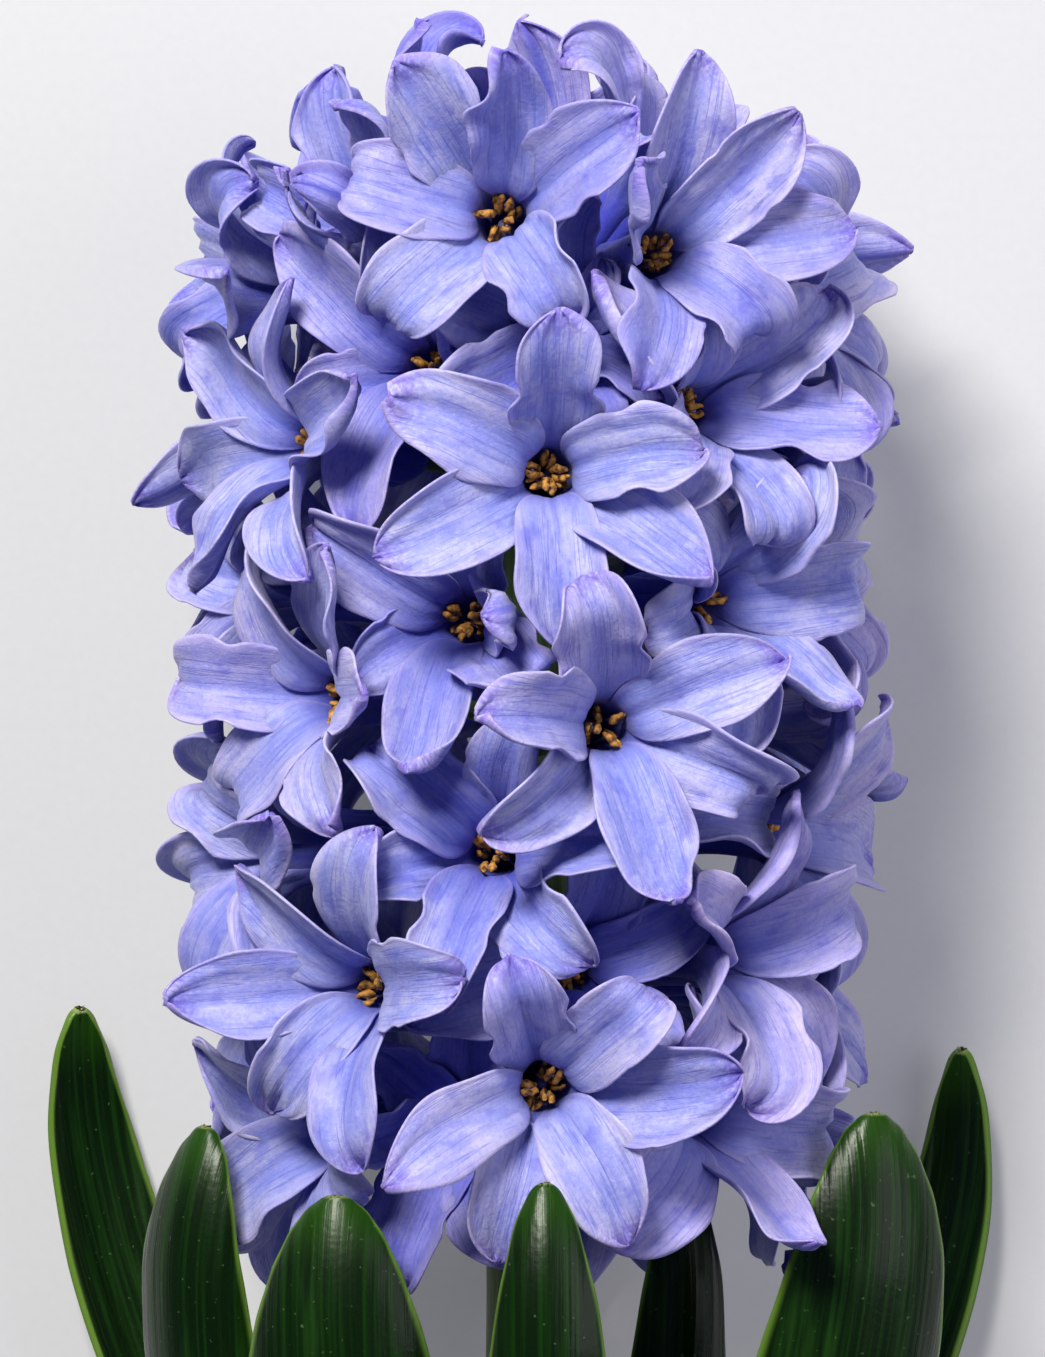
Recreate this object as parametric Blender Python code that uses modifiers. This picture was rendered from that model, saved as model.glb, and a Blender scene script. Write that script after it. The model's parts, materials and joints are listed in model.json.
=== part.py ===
"""A cut hyacinth lying on its side: the flower stalk with its pedicels, the bells, seven leaves, and the
slice of bulb plate that still holds the leaves round the stalk. The flower head points along +Y and the
best side faces +Z. Metres. Every bell is one fused tube with six petal lobes that spread and curl back.
Each petal is bent, drifted or twisted a little from its natural shape until it clears what is there."""

import itertools
import math
import random
from collections import namedtuple

import bmesh
import bpy
import numpy as np
from mathutils import Matrix, Vector
from mathutils.bvhtree import BVHTree

# Flower stalk, from the cut foot to the tip between the uppermost bells.
HEAD_AXIS_Z = 0.034
FOOT_AXIS_Z = 0.0155
FOOT_Y = -0.113
STALK_TIP_Y = 0.107
STALK_RADIUS = 0.0048
STALK_TIP_RADIUS = 0.0022
PEDICEL_RADIUS = 0.0011
PIECE_GAP = 0.0004

# One bell.
TUBE_LENGTH = 0.013
THROAT_RADIUS = 0.0031
OVARY_RADIUS = 0.0028
OVARY_Z = -0.0095
PETAL_COUNT = 6
PETAL_LENGTH = 0.0190
PETAL_WIDTH = 0.0105
BASE_LEAN = 24.0
WALL = 0.0007
CLEARANCE = 0.00035
MOUTH_DEPTH = 0.006
MOUTH_RADIUS = 0.0058

# Leaves and the slice of bulb plate.
LEAF_THICKNESS = 0.0018
LEAF_BASE_WIDTH = 0.0078
PLATE_RADIUS = 0.0150
PLATE_THICKNESS = 0.005

PETAL_BLUE = (0.30, 0.33, 0.80, 1.0)
STALK_GREEN = (0.16, 0.30, 0.07, 1.0)
LEAF_GREEN = (0.03, 0.12, 0.012, 1.0)
PLATE_CREAM = (0.62, 0.55, 0.36, 1.0)

# height along the head and reach of the throat from the stalk's axis in mm; around the stalk from +Z
# towards +X, roll of the first petal from +Y, upward tilt, and mean lean of the petal tips in degrees.
BellPlace = namedtuple("BellPlace", "height around reach roll tilt lean")
BELLS = [
    BellPlace(80, 4, 27.5, 5, 2, 112),
    BellPlace(54, 16, 27.5, 50, 0, 108),
    BellPlace(17, 3, 27.5, 45, -4, 106),
    BellPlace(106.5, -7, 25.5, 34, 10, 94),
    BellPlace(103, 29, 26.5, 14, 10, 108),
    BellPlace(27, -38, 26, 30, -2, 118),
    BellPlace(83, -60, 26, 20, 4, 124),
    BellPlace(87, 42, 24.5, 50, 6, 108),
    BellPlace(67, 45, 25.5, 20, 0, 112),
    BellPlace(57, -51, 25.5, 10, 2, 112),
    BellPlace(30, 49, 25, 5, 2, 122),
    BellPlace(14, 42, 24.5, 40, -2, 112),
    BellPlace(12, -52, 24.5, 55, -6, 118),
    BellPlace(100, -84, 25.5, 45, 10, 116),
    BellPlace(99, 74, 26, 15, 10, 122),
    BellPlace(43, 71, 26, 35, -2, 118),
    BellPlace(40, -72, 26, 25, -2, 120),
    BellPlace(65, -18, 21.5, 0, 2, 100),
    BellPlace(94, 8, 18.5, 50, 4, 92),
    BellPlace(41, -10, 21.5, 20, 0, 98),
    BellPlace(91, -30, 21, 15, 4, 96),
    BellPlace(104.5, -45, 21, 40, 20, 48),
    BellPlace(68, 80, 26, 10, 2, 112),
    BellPlace(68, -84, 24.5, 40, 2, 112),
    BellPlace(55, 104, 24.5, 30, 0, 116),
    BellPlace(28, 91, 24.5, 10, -2, 112),
    BellPlace(24, -82, 23, 50, -4, 114),
    BellPlace(10, 104, 21.5, 30, -8, 108),
    BellPlace(9, 163, 22, 40, -10, 108),
    BellPlace(10, -108, 21.5, 5, -8, 112),
    BellPlace(26, 132, 23, 50, -4, 110),
    BellPlace(27, -142, 23, 25, -4, 108),
    BellPlace(40, 165, 24, 0, 0, 106),
    BellPlace(42, -112, 24.5, 45, 0, 114),
    BellPlace(55, 142, 24, 15, 0, 108),
    BellPlace(56, -152, 24, 35, 0, 106),
    BellPlace(72, 122, 24.5, 20, 3, 112),
    BellPlace(71, 172, 24, 55, 3, 106),
    BellPlace(71, -128, 24.5, 10, 3, 112),
    BellPlace(86, 92, 25, 40, 6, 114),
    BellPlace(89, 150, 23.5, 25, 8, 106),
    BellPlace(86, -158, 23, 50, 6, 106),
    BellPlace(86, -108, 24.5, 5, 6, 112),
    BellPlace(102, 122, 24, 30, 14, 108),
    BellPlace(103, 180, 22, 10, 18, 100),
    BellPlace(102, -128, 24, 45, 14, 108),
    BellPlace(110, 60, 12.4, 15, 50, 76),
    BellPlace(110, -100, 12.4, 40, 52, 84),
    BellPlace(111, 168, 12.4, 0, 52, 80),
    BellPlace(29, 12, 18.5, 15, 0, 84),
    BellPlace(13, -22, 18, 20, -4, 84),
]

# The bells in front have petals of their own: angle from +Y and lean of the tip in degrees, shares of
# the usual length and width, how late the petal bends, drift and twist in degrees.
OwnPetal = namedtuple("OwnPetal", "angle lean length width ease drift twist")
OWN_PETALS = {
    1: [
        OwnPetal(0, 58, 1.0, 1.0, 1.0, 0, 4),
        OwnPetal(76, 152, 0.86, 1.0, 1.7, 6, -10),
        OwnPetal(123, 112, 1.03, 1.03, 0.9, 4, 8),
        OwnPetal(176, 104, 0.95, 1.0, 0.8, 0, 0),
        OwnPetal(240, 108, 1.05, 1.0, 0.8, 4, -12),
        OwnPetal(300, 140, 0.95, 1.0, 1.2, -6, 6),
    ],
    2: [
        OwnPetal(-18, 92, 1.0, 1.08, 0.9, 0, 6),
        OwnPetal(62, 112, 1.0, 0.95, 1.1, 6, 16),
        OwnPetal(112, 104, 1.05, 1.0, 1.0, 0, -8),
        OwnPetal(168, 94, 1.1, 1.0, 0.8, 0, 6),
        OwnPetal(226, 128, 0.98, 0.95, 1.2, 8, 34),
        OwnPetal(280, 84, 1.0, 1.05, 1.3, -6, -14),
    ],
    3: [
        OwnPetal(-16, 62, 0.92, 0.95, 1.1, 0, -8),
        OwnPetal(42, 80, 0.96, 0.92, 1.0, 4, 12),
        OwnPetal(91, 98, 1.05, 1.1, 0.8, -8, -6),
        OwnPetal(146, 165, 0.95, 0.95, 1.8, 6, 20),
        OwnPetal(200, 120, 0.95, 1.0, 1.0, -4, 0),
        OwnPetal(256, 84, 1.08, 0.85, 1.0, -14, -30),
    ],
    4: [
        OwnPetal(-32, 66, 1.0, 1.05, 0.9, -4, 8),
        OwnPetal(14, 60, 0.98, 0.86, 0.9, -4, -6),
        OwnPetal(66, 100, 1.0, 1.05, 1.3, -4, 10),
        OwnPetal(144, 136, 0.72, 1.02, 1.1, 4, -14),
        OwnPetal(220, 126, 1.0, 1.02, 1.1, 4, 10),
        OwnPetal(276, 96, 0.95, 0.98, 0.9, 6, -8),
    ],
    5: [
        OwnPetal(0, 82, 1.06, 1.02, 0.9, 2, -6),
        OwnPetal(46, 72, 1.0, 0.95, 1.0, -4, 38),
        OwnPetal(92, 104, 1.06, 1.02, 0.9, -6, 6),
        OwnPetal(140, 166, 0.86, 1.0, 1.8, 0, -8),
        OwnPetal(200, 146, 0.86, 0.95, 1.3, 0, 10),
        OwnPetal(296, 34, 0.84, 1.0, 1.0, 8, 10),
    ],
    6: [
        OwnPetal(20, 98, 1.0, 1.05, 1.0, 0, 8),
        OwnPetal(84, 104, 0.88, 1.0, 1.1, 0, -16),
        OwnPetal(160, 100, 1.12, 0.88, 1.4, 4, 10),
        OwnPetal(210, 168, 0.9, 0.95, 1.6, 0, 14),
        OwnPetal(267, 68, 1.06, 0.95, 0.9, 0, -8),
        OwnPetal(320, 152, 0.95, 0.95, 1.5, -6, 20),
    ],
    10: [
        OwnPetal(34, 94, 1.0, 1.08, 0.9, 0, 6),
        OwnPetal(90, 112, 0.76, 0.95, 1.2, 0, -10),
        OwnPetal(150, 162, 0.86, 0.95, 1.7, 0, 16),
        OwnPetal(214, 132, 0.96, 1.0, 1.1, 6, -12),
        OwnPetal(276, 76, 1.0, 1.04, 1.0, 0, 8),
        OwnPetal(330, 102, 0.96, 0.95, 1.0, -6, 30),
    ],
    18: [
        OwnPetal(24, 78, 0.9, 1.0, 1.1, 0, 10),
        OwnPetal(80, 60, 0.9, 1.0, 1.5, 10, -20),
        OwnPetal(128, 76, 0.92, 1.05, 1.3, -4, 16),
        OwnPetal(186, 96, 1.04, 1.0, 1.0, 0, -6),
        OwnPetal(246, 96, 1.0, 0.98, 1.0, 0, 8),
        OwnPetal(304, 90, 1.0, 1.0, 0.9, 0, -10),
    ],
}

# tip: x, y from the foot of the head, z, in mm; root: angle round the stalk from +Z and distance from
# its axis; rise: how far the middle stands out from the straight line; turn: degrees the leaf rolls
# about its own length from root to tip.
LeafPlace = namedtuple("LeafPlace", "tip width root_angle root_distance rise turn")
LEAVES = {
    "leaf_far_left": LeafPlace((-51, 22.5, 2.8), 14.0, -110, 10.4, 3, -48),
    "leaf_left": LeafPlace((-36, 12, 49), 18.0, -76, 13.4, 8, 40),
    "leaf_front_left": LeafPlace((-20.5, 5.8, 67), 24.0, -32, 10.2, 5, 22),
    "leaf_front": LeafPlace((1.5, 8, 74), 14.5, 3, 13.4, 9, -3),
    "leaf_inner": LeafPlace((17.5, 5.5, 33), 14.0, 90, 8.0, 1, -66),
    "leaf_right": LeafPlace((37, 13.5, 53), 23.0, 48, 12.9, 5, -30),
    "leaf_far_right": LeafPlace((49, 18, 2.8), 12.0, 114, 12.0, 3, 44),
}

PETAL_STEPS = np.array([0.3, 0.6, 0.85])
MOST_PLACES = 40


def material(name, colour, roughness):
    made = bpy.data.materials.new(name)
    made.use_nodes = True
    shader = made.node_tree.nodes["Principled BSDF"]
    shader.inputs["Base Color"].default_value = colour
    shader.inputs["Roughness"].default_value = roughness
    shader.inputs["Metallic"].default_value = 0.0
    return made


def stalk_axis(y):
    """The stalk's axis at a distance along the flower: level in the head, sagging to the cut foot."""
    share = min(1.0, max(0.0, (y - FOOT_Y) / -FOOT_Y))
    return Vector((0.0, y, FOOT_AXIS_Z + (HEAD_AXIS_Z - FOOT_AXIS_Z) * share * share * (3 - 2 * share)))


def stalk_radius(y):
    share = max(0.0, y) / STALK_TIP_Y
    return STALK_RADIUS + (STALK_TIP_RADIUS - STALK_RADIUS) * share**1.5


def bell_frame(place):
    """The throat's frame: +Z out of the mouth, +Y towards the head's tip, the origin in the throat."""
    around, tilt = math.radians(place.around), math.radians(place.tilt)
    outward = Vector((math.sin(around), 0, math.cos(around)))
    along = Vector((0, 1, 0))
    mouth = outward * math.cos(tilt) + along * math.sin(tilt)
    up = along * math.cos(tilt) - outward * math.sin(tilt)
    throat = stalk_axis(place.height / 1000) + outward * (place.reach / 1000)
    frame = Matrix((up.cross(mouth), up, mouth)).transposed().to_4x4()
    frame.translation = throat
    return frame


class Petal:
    """One lobe: where it leaves the throat and how it leans, bends, drifts, twists and cups."""

    def __init__(self, angle, length, width, bend, ease, drift, twist, cup):
        self.angle, self.length, self.width = angle, length, width
        self.bend, self.ease, self.drift = bend, ease, drift
        self.twist, self.cup = twist, cup

    def changed(self, bend, drift, twist, length):
        return Petal(
            self.angle, self.length * length, self.width * length**0.5, self.bend + bend,
            self.ease, self.drift + drift, self.twist + twist, self.cup,
        )

    def surface(self, along, across):
        """Points and inner-face normals in the bell's frame on a grid of along (0 throat to 1 tip) by
        across (-1 to 1). The centreline's lean from the mouth's axis grows as a power of the length."""
        steps = np.linspace(0, 1, 61)
        lean = np.radians(BASE_LEAN + self.bend * steps**self.ease)
        stride = self.length / (len(steps) - 1)
        out = np.concatenate([[0], np.cumsum((np.sin(lean)[1:] + np.sin(lean)[:-1]) / 2)]) * stride
        rise = np.concatenate([[0], np.cumsum((np.cos(lean)[1:] + np.cos(lean)[:-1]) / 2)]) * stride
        radius = THROAT_RADIUS + np.interp(along, steps, out)
        height = np.interp(along, steps, rise)
        lean = np.interp(along, steps, lean)
        angle = np.radians(self.angle + self.drift * along**2)
        zero = np.zeros_like(angle)
        outward = np.stack([np.sin(angle), np.cos(angle), zero], 1)
        side = np.stack([np.cos(angle), -np.sin(angle), zero], 1)
        mouth = np.array([0.0, 0.0, 1.0])
        normal = mouth * np.sin(lean)[:, None] - outward * np.cos(lean)[:, None]
        turn = np.radians(self.twist * along)[:, None]
        side, normal = (
            side * np.cos(turn) + normal * np.sin(turn),
            normal * np.cos(turn) - side * np.sin(turn),
        )
        centre = outward * radius[:, None] + mouth * height[:, None]
        half = np.minimum(self.width / 2 * petal_outline(along), 0.48 * radius)[:, None, None]
        arc = across * self.cup
        sideways = (np.sin(arc) / self.cup)[None, :, None] * half
        lifted = ((1 - np.cos(arc)) / self.cup)[None, :, None] * half
        points = centre[:, None] + side[:, None] * sideways + normal[:, None] * lifted
        normals = normal[:, None] * np.cos(arc)[None, :, None] - side[:, None] * np.sin(arc)[None, :, None]
        return points, normals


def petal_outline(along):
    """Share of the full width: about half at the throat, full past the middle, a narrow round tip."""
    widest = 0.54
    lower = 0.5 + 0.5 * np.sin(np.pi / 2 * np.minimum(along / widest, 1))
    upper = np.clip(1 - (np.maximum(along - widest, 0) / (1 - widest)) ** 2.0, 0, 1) ** 0.68
    return np.where(along < widest, lower, upper)


def natural_petals(place, number):
    """The bell's six petals as they would grow alone: its own, or by chance each one of a few habits,
    which are how much further the tip leans and how late the petal bends."""
    rng = random.Random(1000 + number)
    if number + 1 in OWN_PETALS:
        return [
            Petal(
                angle=own.angle, length=PETAL_LENGTH * own.length, width=PETAL_WIDTH * own.width,
                bend=own.lean - BASE_LEAN, ease=own.ease, drift=own.drift, twist=own.twist,
                cup=rng.uniform(0.35, 0.75),
            )
            for own in OWN_PETALS[number + 1]
        ]
    petals = []
    for k in range(PETAL_COUNT):
        inner = k % 2
        lean, ease = rng.choice(((-36, 0.9), (-14, 1.2), (-4, 0.8), (2, 1.3), (8, 0.9), (30, 1.5), (48, 1.9), (70, 2.4)))
        petals.append(
            Petal(
                angle=place.roll + 60 * k + rng.uniform(-5, 5),
                length=PETAL_LENGTH * rng.uniform(0.93, 1.07),
                width=PETAL_WIDTH * (1.03 if inner else 0.94) * rng.uniform(0.94, 1.06),
                bend=place.lean - BASE_LEAN + lean + rng.uniform(-8, 8),
                ease=ease * rng.uniform(0.85, 1.2),
                drift=rng.uniform(-12, 12),
                twist=rng.uniform(-32, 32),
                cup=rng.uniform(0.35, 0.8),
            )
        )
    return petals


def petal_changes():
    """Every change of bend, drift, twist (degrees) and length (share), the smallest change first."""
    changes = itertools.product(
        (0, -14, 14, -28, 30, -45, 55, -65, 80, -90), (0, -9, 9, -18, 18), (0, -25, 25, -50, 50), (1, 0.88, 0.76, 0.62, 0.5)
    )

    def size(change):
        bend, drift, twist, length = change
        return abs(bend) / 14 + abs(drift) / 10 + abs(twist) / 30 + (1 - length) * 14

    return sorted(changes, key=size)


def slab(points, normals, half_thickness):
    """A closed shell round a grid of points, as corner and face lists."""
    rows, columns = points.shape[:2]
    upper = (points + normals * half_thickness).reshape(-1, 3)
    lower = (points - normals * half_thickness).reshape(-1, 3)
    count = rows * columns
    faces = []
    for i, j in itertools.product(range(rows - 1), range(columns - 1)):
        a, b = i * columns + j, (i + 1) * columns + j
        faces += [(a, b, b + 1, a + 1), (count + a, count + a + 1, count + b + 1, count + b)]
    edge = [j for j in range(columns)]
    edge += [i * columns + columns - 1 for i in range(1, rows)]
    edge += [(rows - 1) * columns + j for j in range(columns - 2, -1, -1)]
    edge += [i * columns for i in range(rows - 2, 0, -1)]
    for here, there in zip(edge, edge[1:] + edge[:1]):
        faces.append((here, there, count + there, count + here))
    return np.concatenate([upper, lower]), faces


def in_world(frame, points, normals):
    matrix = np.array(frame)
    return points @ matrix[:3, :3].T + matrix[:3, 3], normals @ matrix[:3, :3].T


def tree_of(shapes):
    corners, faces = [], []
    for points, polygons in shapes:
        first = len(corners)
        corners += [tuple(p) for p in points]
        faces += [tuple(first + i for i in polygon) for polygon in polygons]
    return BVHTree.FromPolygons(corners, faces)


def tube_shape(frame, extra):
    """The bell's tube and the open cone of its mouth as a closed solid of rings, grown by extra."""
    rings = (
        (-TUBE_LENGTH - extra, 0.0006 + extra),
        (OVARY_Z, OVARY_RADIUS + WALL + extra),
        (0.0, THROAT_RADIUS + WALL / 2 + extra),
        (MOUTH_DEPTH, MOUTH_RADIUS),
    )
    sides = 12
    angles = np.arange(sides) * 2 * math.pi / sides
    points = [
        frame @ Vector((radius * math.sin(a), radius * math.cos(a), z)) for z, radius in rings for a in angles
    ]
    faces = [tuple(range(sides)), tuple(range(3 * sides, 4 * sides))]
    for ring, j in itertools.product(range(3), range(sides)):
        k = (j + 1) % sides
        faces.append((ring * sides + j, ring * sides + k, (ring + 1) * sides + k, (ring + 1) * sides + j))
    return points, faces


def pedicel_ends(place, frame):
    """From just inside the stalk to just short of the bell's base, along the bell's own axis there."""
    base = frame @ Vector((0, 0, -TUBE_LENGTH - WALL / 2 - PIECE_GAP))
    root_y = min(base.y - 0.002, STALK_TIP_Y - 0.004)
    root = stalk_axis(root_y)
    outward = Vector((base.x, 0, base.z - root.z)).normalized()
    return root + outward * (0.45 * stalk_radius(root_y)), base


def pedicel_shape(place, frame, extra):
    root, base = pedicel_ends(place, frame)
    axis = (base - root).normalized()
    side = axis.orthogonal().normalized()
    other = axis.cross(side)
    radius = PEDICEL_RADIUS + extra
    points = [
        end + (side * math.cos(a) + other * math.sin(a)) * radius
        for end in (root, base + axis * extra)
        for a in (k * math.pi / 3 for k in range(6))
    ]
    faces = [tuple(range(6)), tuple(range(6, 12))]
    faces += [(k, (k + 1) % 6, 6 + (k + 1) % 6, 6 + k) for k in range(6)]
    return points, faces


def stalk_shape(low, high, extra):
    """A stretch of the stalk as a closed twelve-sided solid, grown by extra."""
    sides = 12
    angles = [k * 2 * math.pi / sides for k in range(sides)]
    points = []
    for y in (low, high):
        radius = stalk_radius(y) + extra
        points += [stalk_axis(y) + Vector((math.sin(a), 0, math.cos(a))) * radius for a in angles]
    faces = [tuple(range(sides)), tuple(range(sides, 2 * sides))]
    faces += [(k, (k + 1) % sides, sides + (k + 1) % sides, sides + k) for k in range(sides)]
    return points, faces


def leaf_surface(place, along, across):
    """A strap leaf as a grid: a smooth curve from root to tip, channelled towards the stalk, with a
    pointed boat-shaped end. Returns points and normals of the inner, channelled face."""
    angle = math.radians(place.root_angle)
    outward = np.array([math.sin(angle), 0.0, math.cos(angle)])
    turned = np.radians(place.root_angle + place.turn * np.minimum(along / 0.8, 1))
    inward = -np.stack([np.sin(turned), np.zeros_like(turned), np.cos(turned)], 1)
    start = np.array(stalk_axis(FOOT_Y + 0.0005)) + outward * place.root_distance / 1000
    tip = np.array(place.tip) / 1000
    head = np.array([0.0, 1.0, 0.0])
    span = tip - start
    reach = np.linalg.norm(span)
    first = start + head * 0.36 * reach + outward * place.rise / 1000 + span * [0.1, 0, 0.1]
    second = tip - head * 0.34 * reach - span * [0.14, 0, 0.10] + outward * place.rise / 1000
    t = along[:, None]
    centre = (1 - t) ** 3 * start + 3 * (1 - t) ** 2 * t * first + 3 * (1 - t) * t**2 * second + t**3 * tip
    slope = 3 * (1 - t) ** 2 * (first - start) + 6 * (1 - t) * t * (second - first) + 3 * t**2 * (tip - second)
    slope /= np.linalg.norm(slope, axis=1)[:, None]
    facing = np.cross(np.cross(slope, inward), slope)
    facing /= np.linalg.norm(facing, axis=1)[:, None]
    side = np.cross(slope, facing)
    width = place.width / 1000
    grow = np.minimum(along / 0.72, 1)
    grow = grow * grow * (3 - 2 * grow)
    half = (LEAF_BASE_WIDTH + (width - LEAF_BASE_WIDTH) * grow) / 2 * leaf_outline(along)
    half = half[:, None, None]
    cup = (0.42 + 0.4 * grow - 0.2 * np.clip((along - 0.72) / 0.28, 0, 1))[:, None]
    arc = across[None, :] * cup
    sideways = (np.sin(arc) / cup)[:, :, None] * half
    lifted = ((1 - np.cos(arc)) / cup)[:, :, None] * half
    hood = 0.0035 * np.clip((along - 0.86) / 0.14, 0, 1) ** 2
    centre = centre + facing * hood[:, None]
    points = centre[:, None] + side[:, None] * sideways + facing[:, None] * lifted
    normals = facing[:, None] * np.cos(arc)[:, :, None] - side[:, None] * np.sin(arc)[:, :, None]
    return points, normals


def leaf_outline(along):
    """Full width for most of the length, then a pointed arch."""
    shoulder = 0.74
    share = np.clip((along - shoulder) / (1 - shoulder), 0, 1)
    return np.sqrt(np.clip(1 - share**2.0, 0, 1)) * (1 - 0.12 * share) + 1e-4


def settled_petals(places, frames, fixed):
    """For each bell its six petals, each with the smallest change that clears the fixed shapes, the
    floor and every petal settled before it. Bells settle in their listed order."""
    changes = petal_changes()
    lowest = WALL / 2 + 0.0003
    along = np.concatenate([[0.12], PETAL_STEPS, [0.985]])
    across = np.array([-1.0, 0.0, 1.0])
    settled = []
    shapes = []
    for number, (place, frame) in enumerate(zip(places, frames)):
        throat = frame.translation
        near = [shape for centre, owner, shape in fixed if owner != number and (centre - throat).length < 0.05]
        near += [shape for centre, shape in shapes if (centre - throat).length < 0.05]
        around = tree_of(near)
        own = []
        chosen = []
        for natural in natural_petals(place, number):
            for change in changes:
                petal = natural.changed(*change)
                points, normals = in_world(frame, *petal.surface(along, across))
                if points[:, :, 2].min() < lowest:
                    continue
                thick = slab(points, normals, WALL / 2 + CLEARANCE)
                if tree_of([thick]).overlap(around):
                    continue
                free = slab(points[1:], normals[1:], WALL / 2)
                free_tree = tree_of([free])
                if any(free_tree.overlap(other) for other in own):
                    continue
                break
            else:
                raise ValueError(f"bell {number + 1}: a petal finds no clear shape")
            chosen.append(petal)
            own.append(free_tree)
            shapes.append((throat, slab(points, normals, WALL / 2)))
        settled.append(chosen)
    return settled


def bell_mesh(name, petals):
    """Half-thickness surface of tube and lobes. The tube runs from a point at its base over the ovary to
    a throat ring of a point on each lobe's middle and one between neighbours."""
    points = [(0, 0, -TUBE_LENGTH)]
    angles = [math.radians(petal.angle) for petal in petals]
    for a in angles:
        points.append((OVARY_RADIUS * math.sin(a), OVARY_RADIUS * math.cos(a), OVARY_Z))
    for k, a in enumerate(angles):
        following = angles[(k + 1) % PETAL_COUNT] + (2 * math.pi if k == PETAL_COUNT - 1 else 0)
        for b in (a, (a + following) / 2):
            points.append((THROAT_RADIUS * math.sin(b), THROAT_RADIUS * math.cos(b), 0))
    faces = []
    for k, petal in enumerate(petals):
        ovary, next_ovary = 1 + k, 1 + (k + 1) % PETAL_COUNT
        middle, right = 7 + 2 * k, 8 + 2 * k
        left = 7 + (2 * k - 1) % (2 * PETAL_COUNT)
        faces += [(0, next_ovary, ovary), (ovary, middle, left), (ovary, right, middle)]
        faces.append((ovary, next_ovary, right))
        grid, _ = petal.surface(PETAL_STEPS, np.array([-1.0, 0.0, 1.0]))
        row = [left, middle, right]
        for level in grid:
            first = len(points)
            points += [tuple(p) for p in level]
            above = [first, first + 1, first + 2]
            faces += [(row[0], row[1], above[1], above[0]), (row[1], row[2], above[2], above[1])]
            row = above
        tip, _ = petal.surface(np.array([1.0]), np.array([0.0]))
        points.append(tuple(tip[0, 0]))
        faces += [(row[0], row[1], len(points) - 1), (row[1], row[2], len(points) - 1)]
    mesh = bpy.data.meshes.new(name)
    mesh.from_pydata([tuple(float(x) for x in p) for p in points], [], faces)
    work = bmesh.new()
    work.from_mesh(mesh)
    bmesh.ops.recalc_face_normals(work, faces=work.faces)
    work.to_mesh(mesh)
    work.free()
    return mesh


def thickened(obj, thickness):
    modifier = obj.modifiers.new("thickness", "SOLIDIFY")
    modifier.thickness = thickness
    modifier.offset = 0.0


def put(name, mesh, look, collection, root):
    obj = bpy.data.objects.new(name, mesh)
    mesh.materials.append(look)
    mesh.shade_smooth()
    mesh.set_sharp_from_angle(angle=math.radians(50))
    collection.objects.link(obj)
    obj.parent = root
    return obj


def leaf_mesh(name, place):
    along = np.array([0, 0.13, 0.28, 0.44, 0.6, 0.75, 0.87, 0.945, 0.985])
    across = np.array([-1.0, -0.5, 0.0, 0.5, 1.0])
    grid, _ = leaf_surface(place, along, across)
    tip, _ = leaf_surface(place, np.array([1.0]), np.array([0.0]))
    points = [tuple(p) for p in grid.reshape(-1, 3)] + [tuple(tip[0, 0])]
    columns = len(across)
    faces = [
        (i * columns + j, i * columns + j + 1, (i + 1) * columns + j + 1, (i + 1) * columns + j)
        for i, j in itertools.product(range(len(along) - 1), range(columns - 1))
    ]
    last = (len(along) - 1) * columns
    faces += [(last + j, last + j + 1, len(points) - 1) for j in range(columns - 1)]
    mesh = bpy.data.meshes.new(name)
    mesh.from_pydata([tuple(float(x) for x in p) for p in points], [], faces)
    return mesh


def stalk_object(collection, cutters, places, frames, look, root):
    """The stalk as a tapering tube on its sagging axis, joined to a tapered pedicel for each bell."""
    curve = bpy.data.curves.new("flower_stalk", "CURVE")
    curve.dimensions = "3D"
    curve.bevel_depth = STALK_RADIUS
    curve.bevel_resolution = 4
    curve.use_fill_caps = True
    stations = np.linspace(FOOT_Y + 0.0004, STALK_TIP_Y, 15)
    spline = curve.splines.new("POLY")
    spline.points.add(len(stations) - 1)
    for point, y in zip(spline.points, stations):
        point.co = (*stalk_axis(y), 1)
        point.radius = stalk_radius(y) / STALK_RADIUS
    guide = bpy.data.objects.new("stalk_curve", curve)
    collection.objects.link(guide)
    mesh = bpy.data.meshes.new_from_object(guide.evaluated_get(bpy.context.evaluated_depsgraph_get()))
    bpy.data.objects.remove(guide)
    work = bmesh.new()
    work.from_mesh(mesh)
    bmesh.ops.remove_doubles(work, verts=work.verts, dist=1e-5)
    work.to_mesh(mesh)
    work.free()
    stalk = put("flower_stalk", mesh, look, collection, root)
    for number, (place, frame) in enumerate(zip(places, frames)):
        start, end = pedicel_ends(place, frame)
        bpy.ops.mesh.primitive_cone_add(
            vertices=6, radius1=PEDICEL_RADIUS * 1.15, radius2=PEDICEL_RADIUS, depth=(end - start).length
        )
        pedicel = bpy.context.object
        pedicel.name = f"pedicel_{number + 1:02d}"
        pedicel.location = (start + end) / 2
        pedicel.rotation_euler = (end - start).to_track_quat("Z", "Y").to_euler()
        for old in pedicel.users_collection:
            old.objects.unlink(pedicel)
        cutters.objects.link(pedicel)
        pedicel.hide_render = True
        pedicel.display_type = "WIRE"
        pedicel.parent = root
    join = stalk.modifiers.new("pedicels", "BOOLEAN")
    join.operation = "UNION"
    join.solver = "EXACT"
    join.operand_type = "COLLECTION"
    join.collection = cutters
    return stalk


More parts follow.
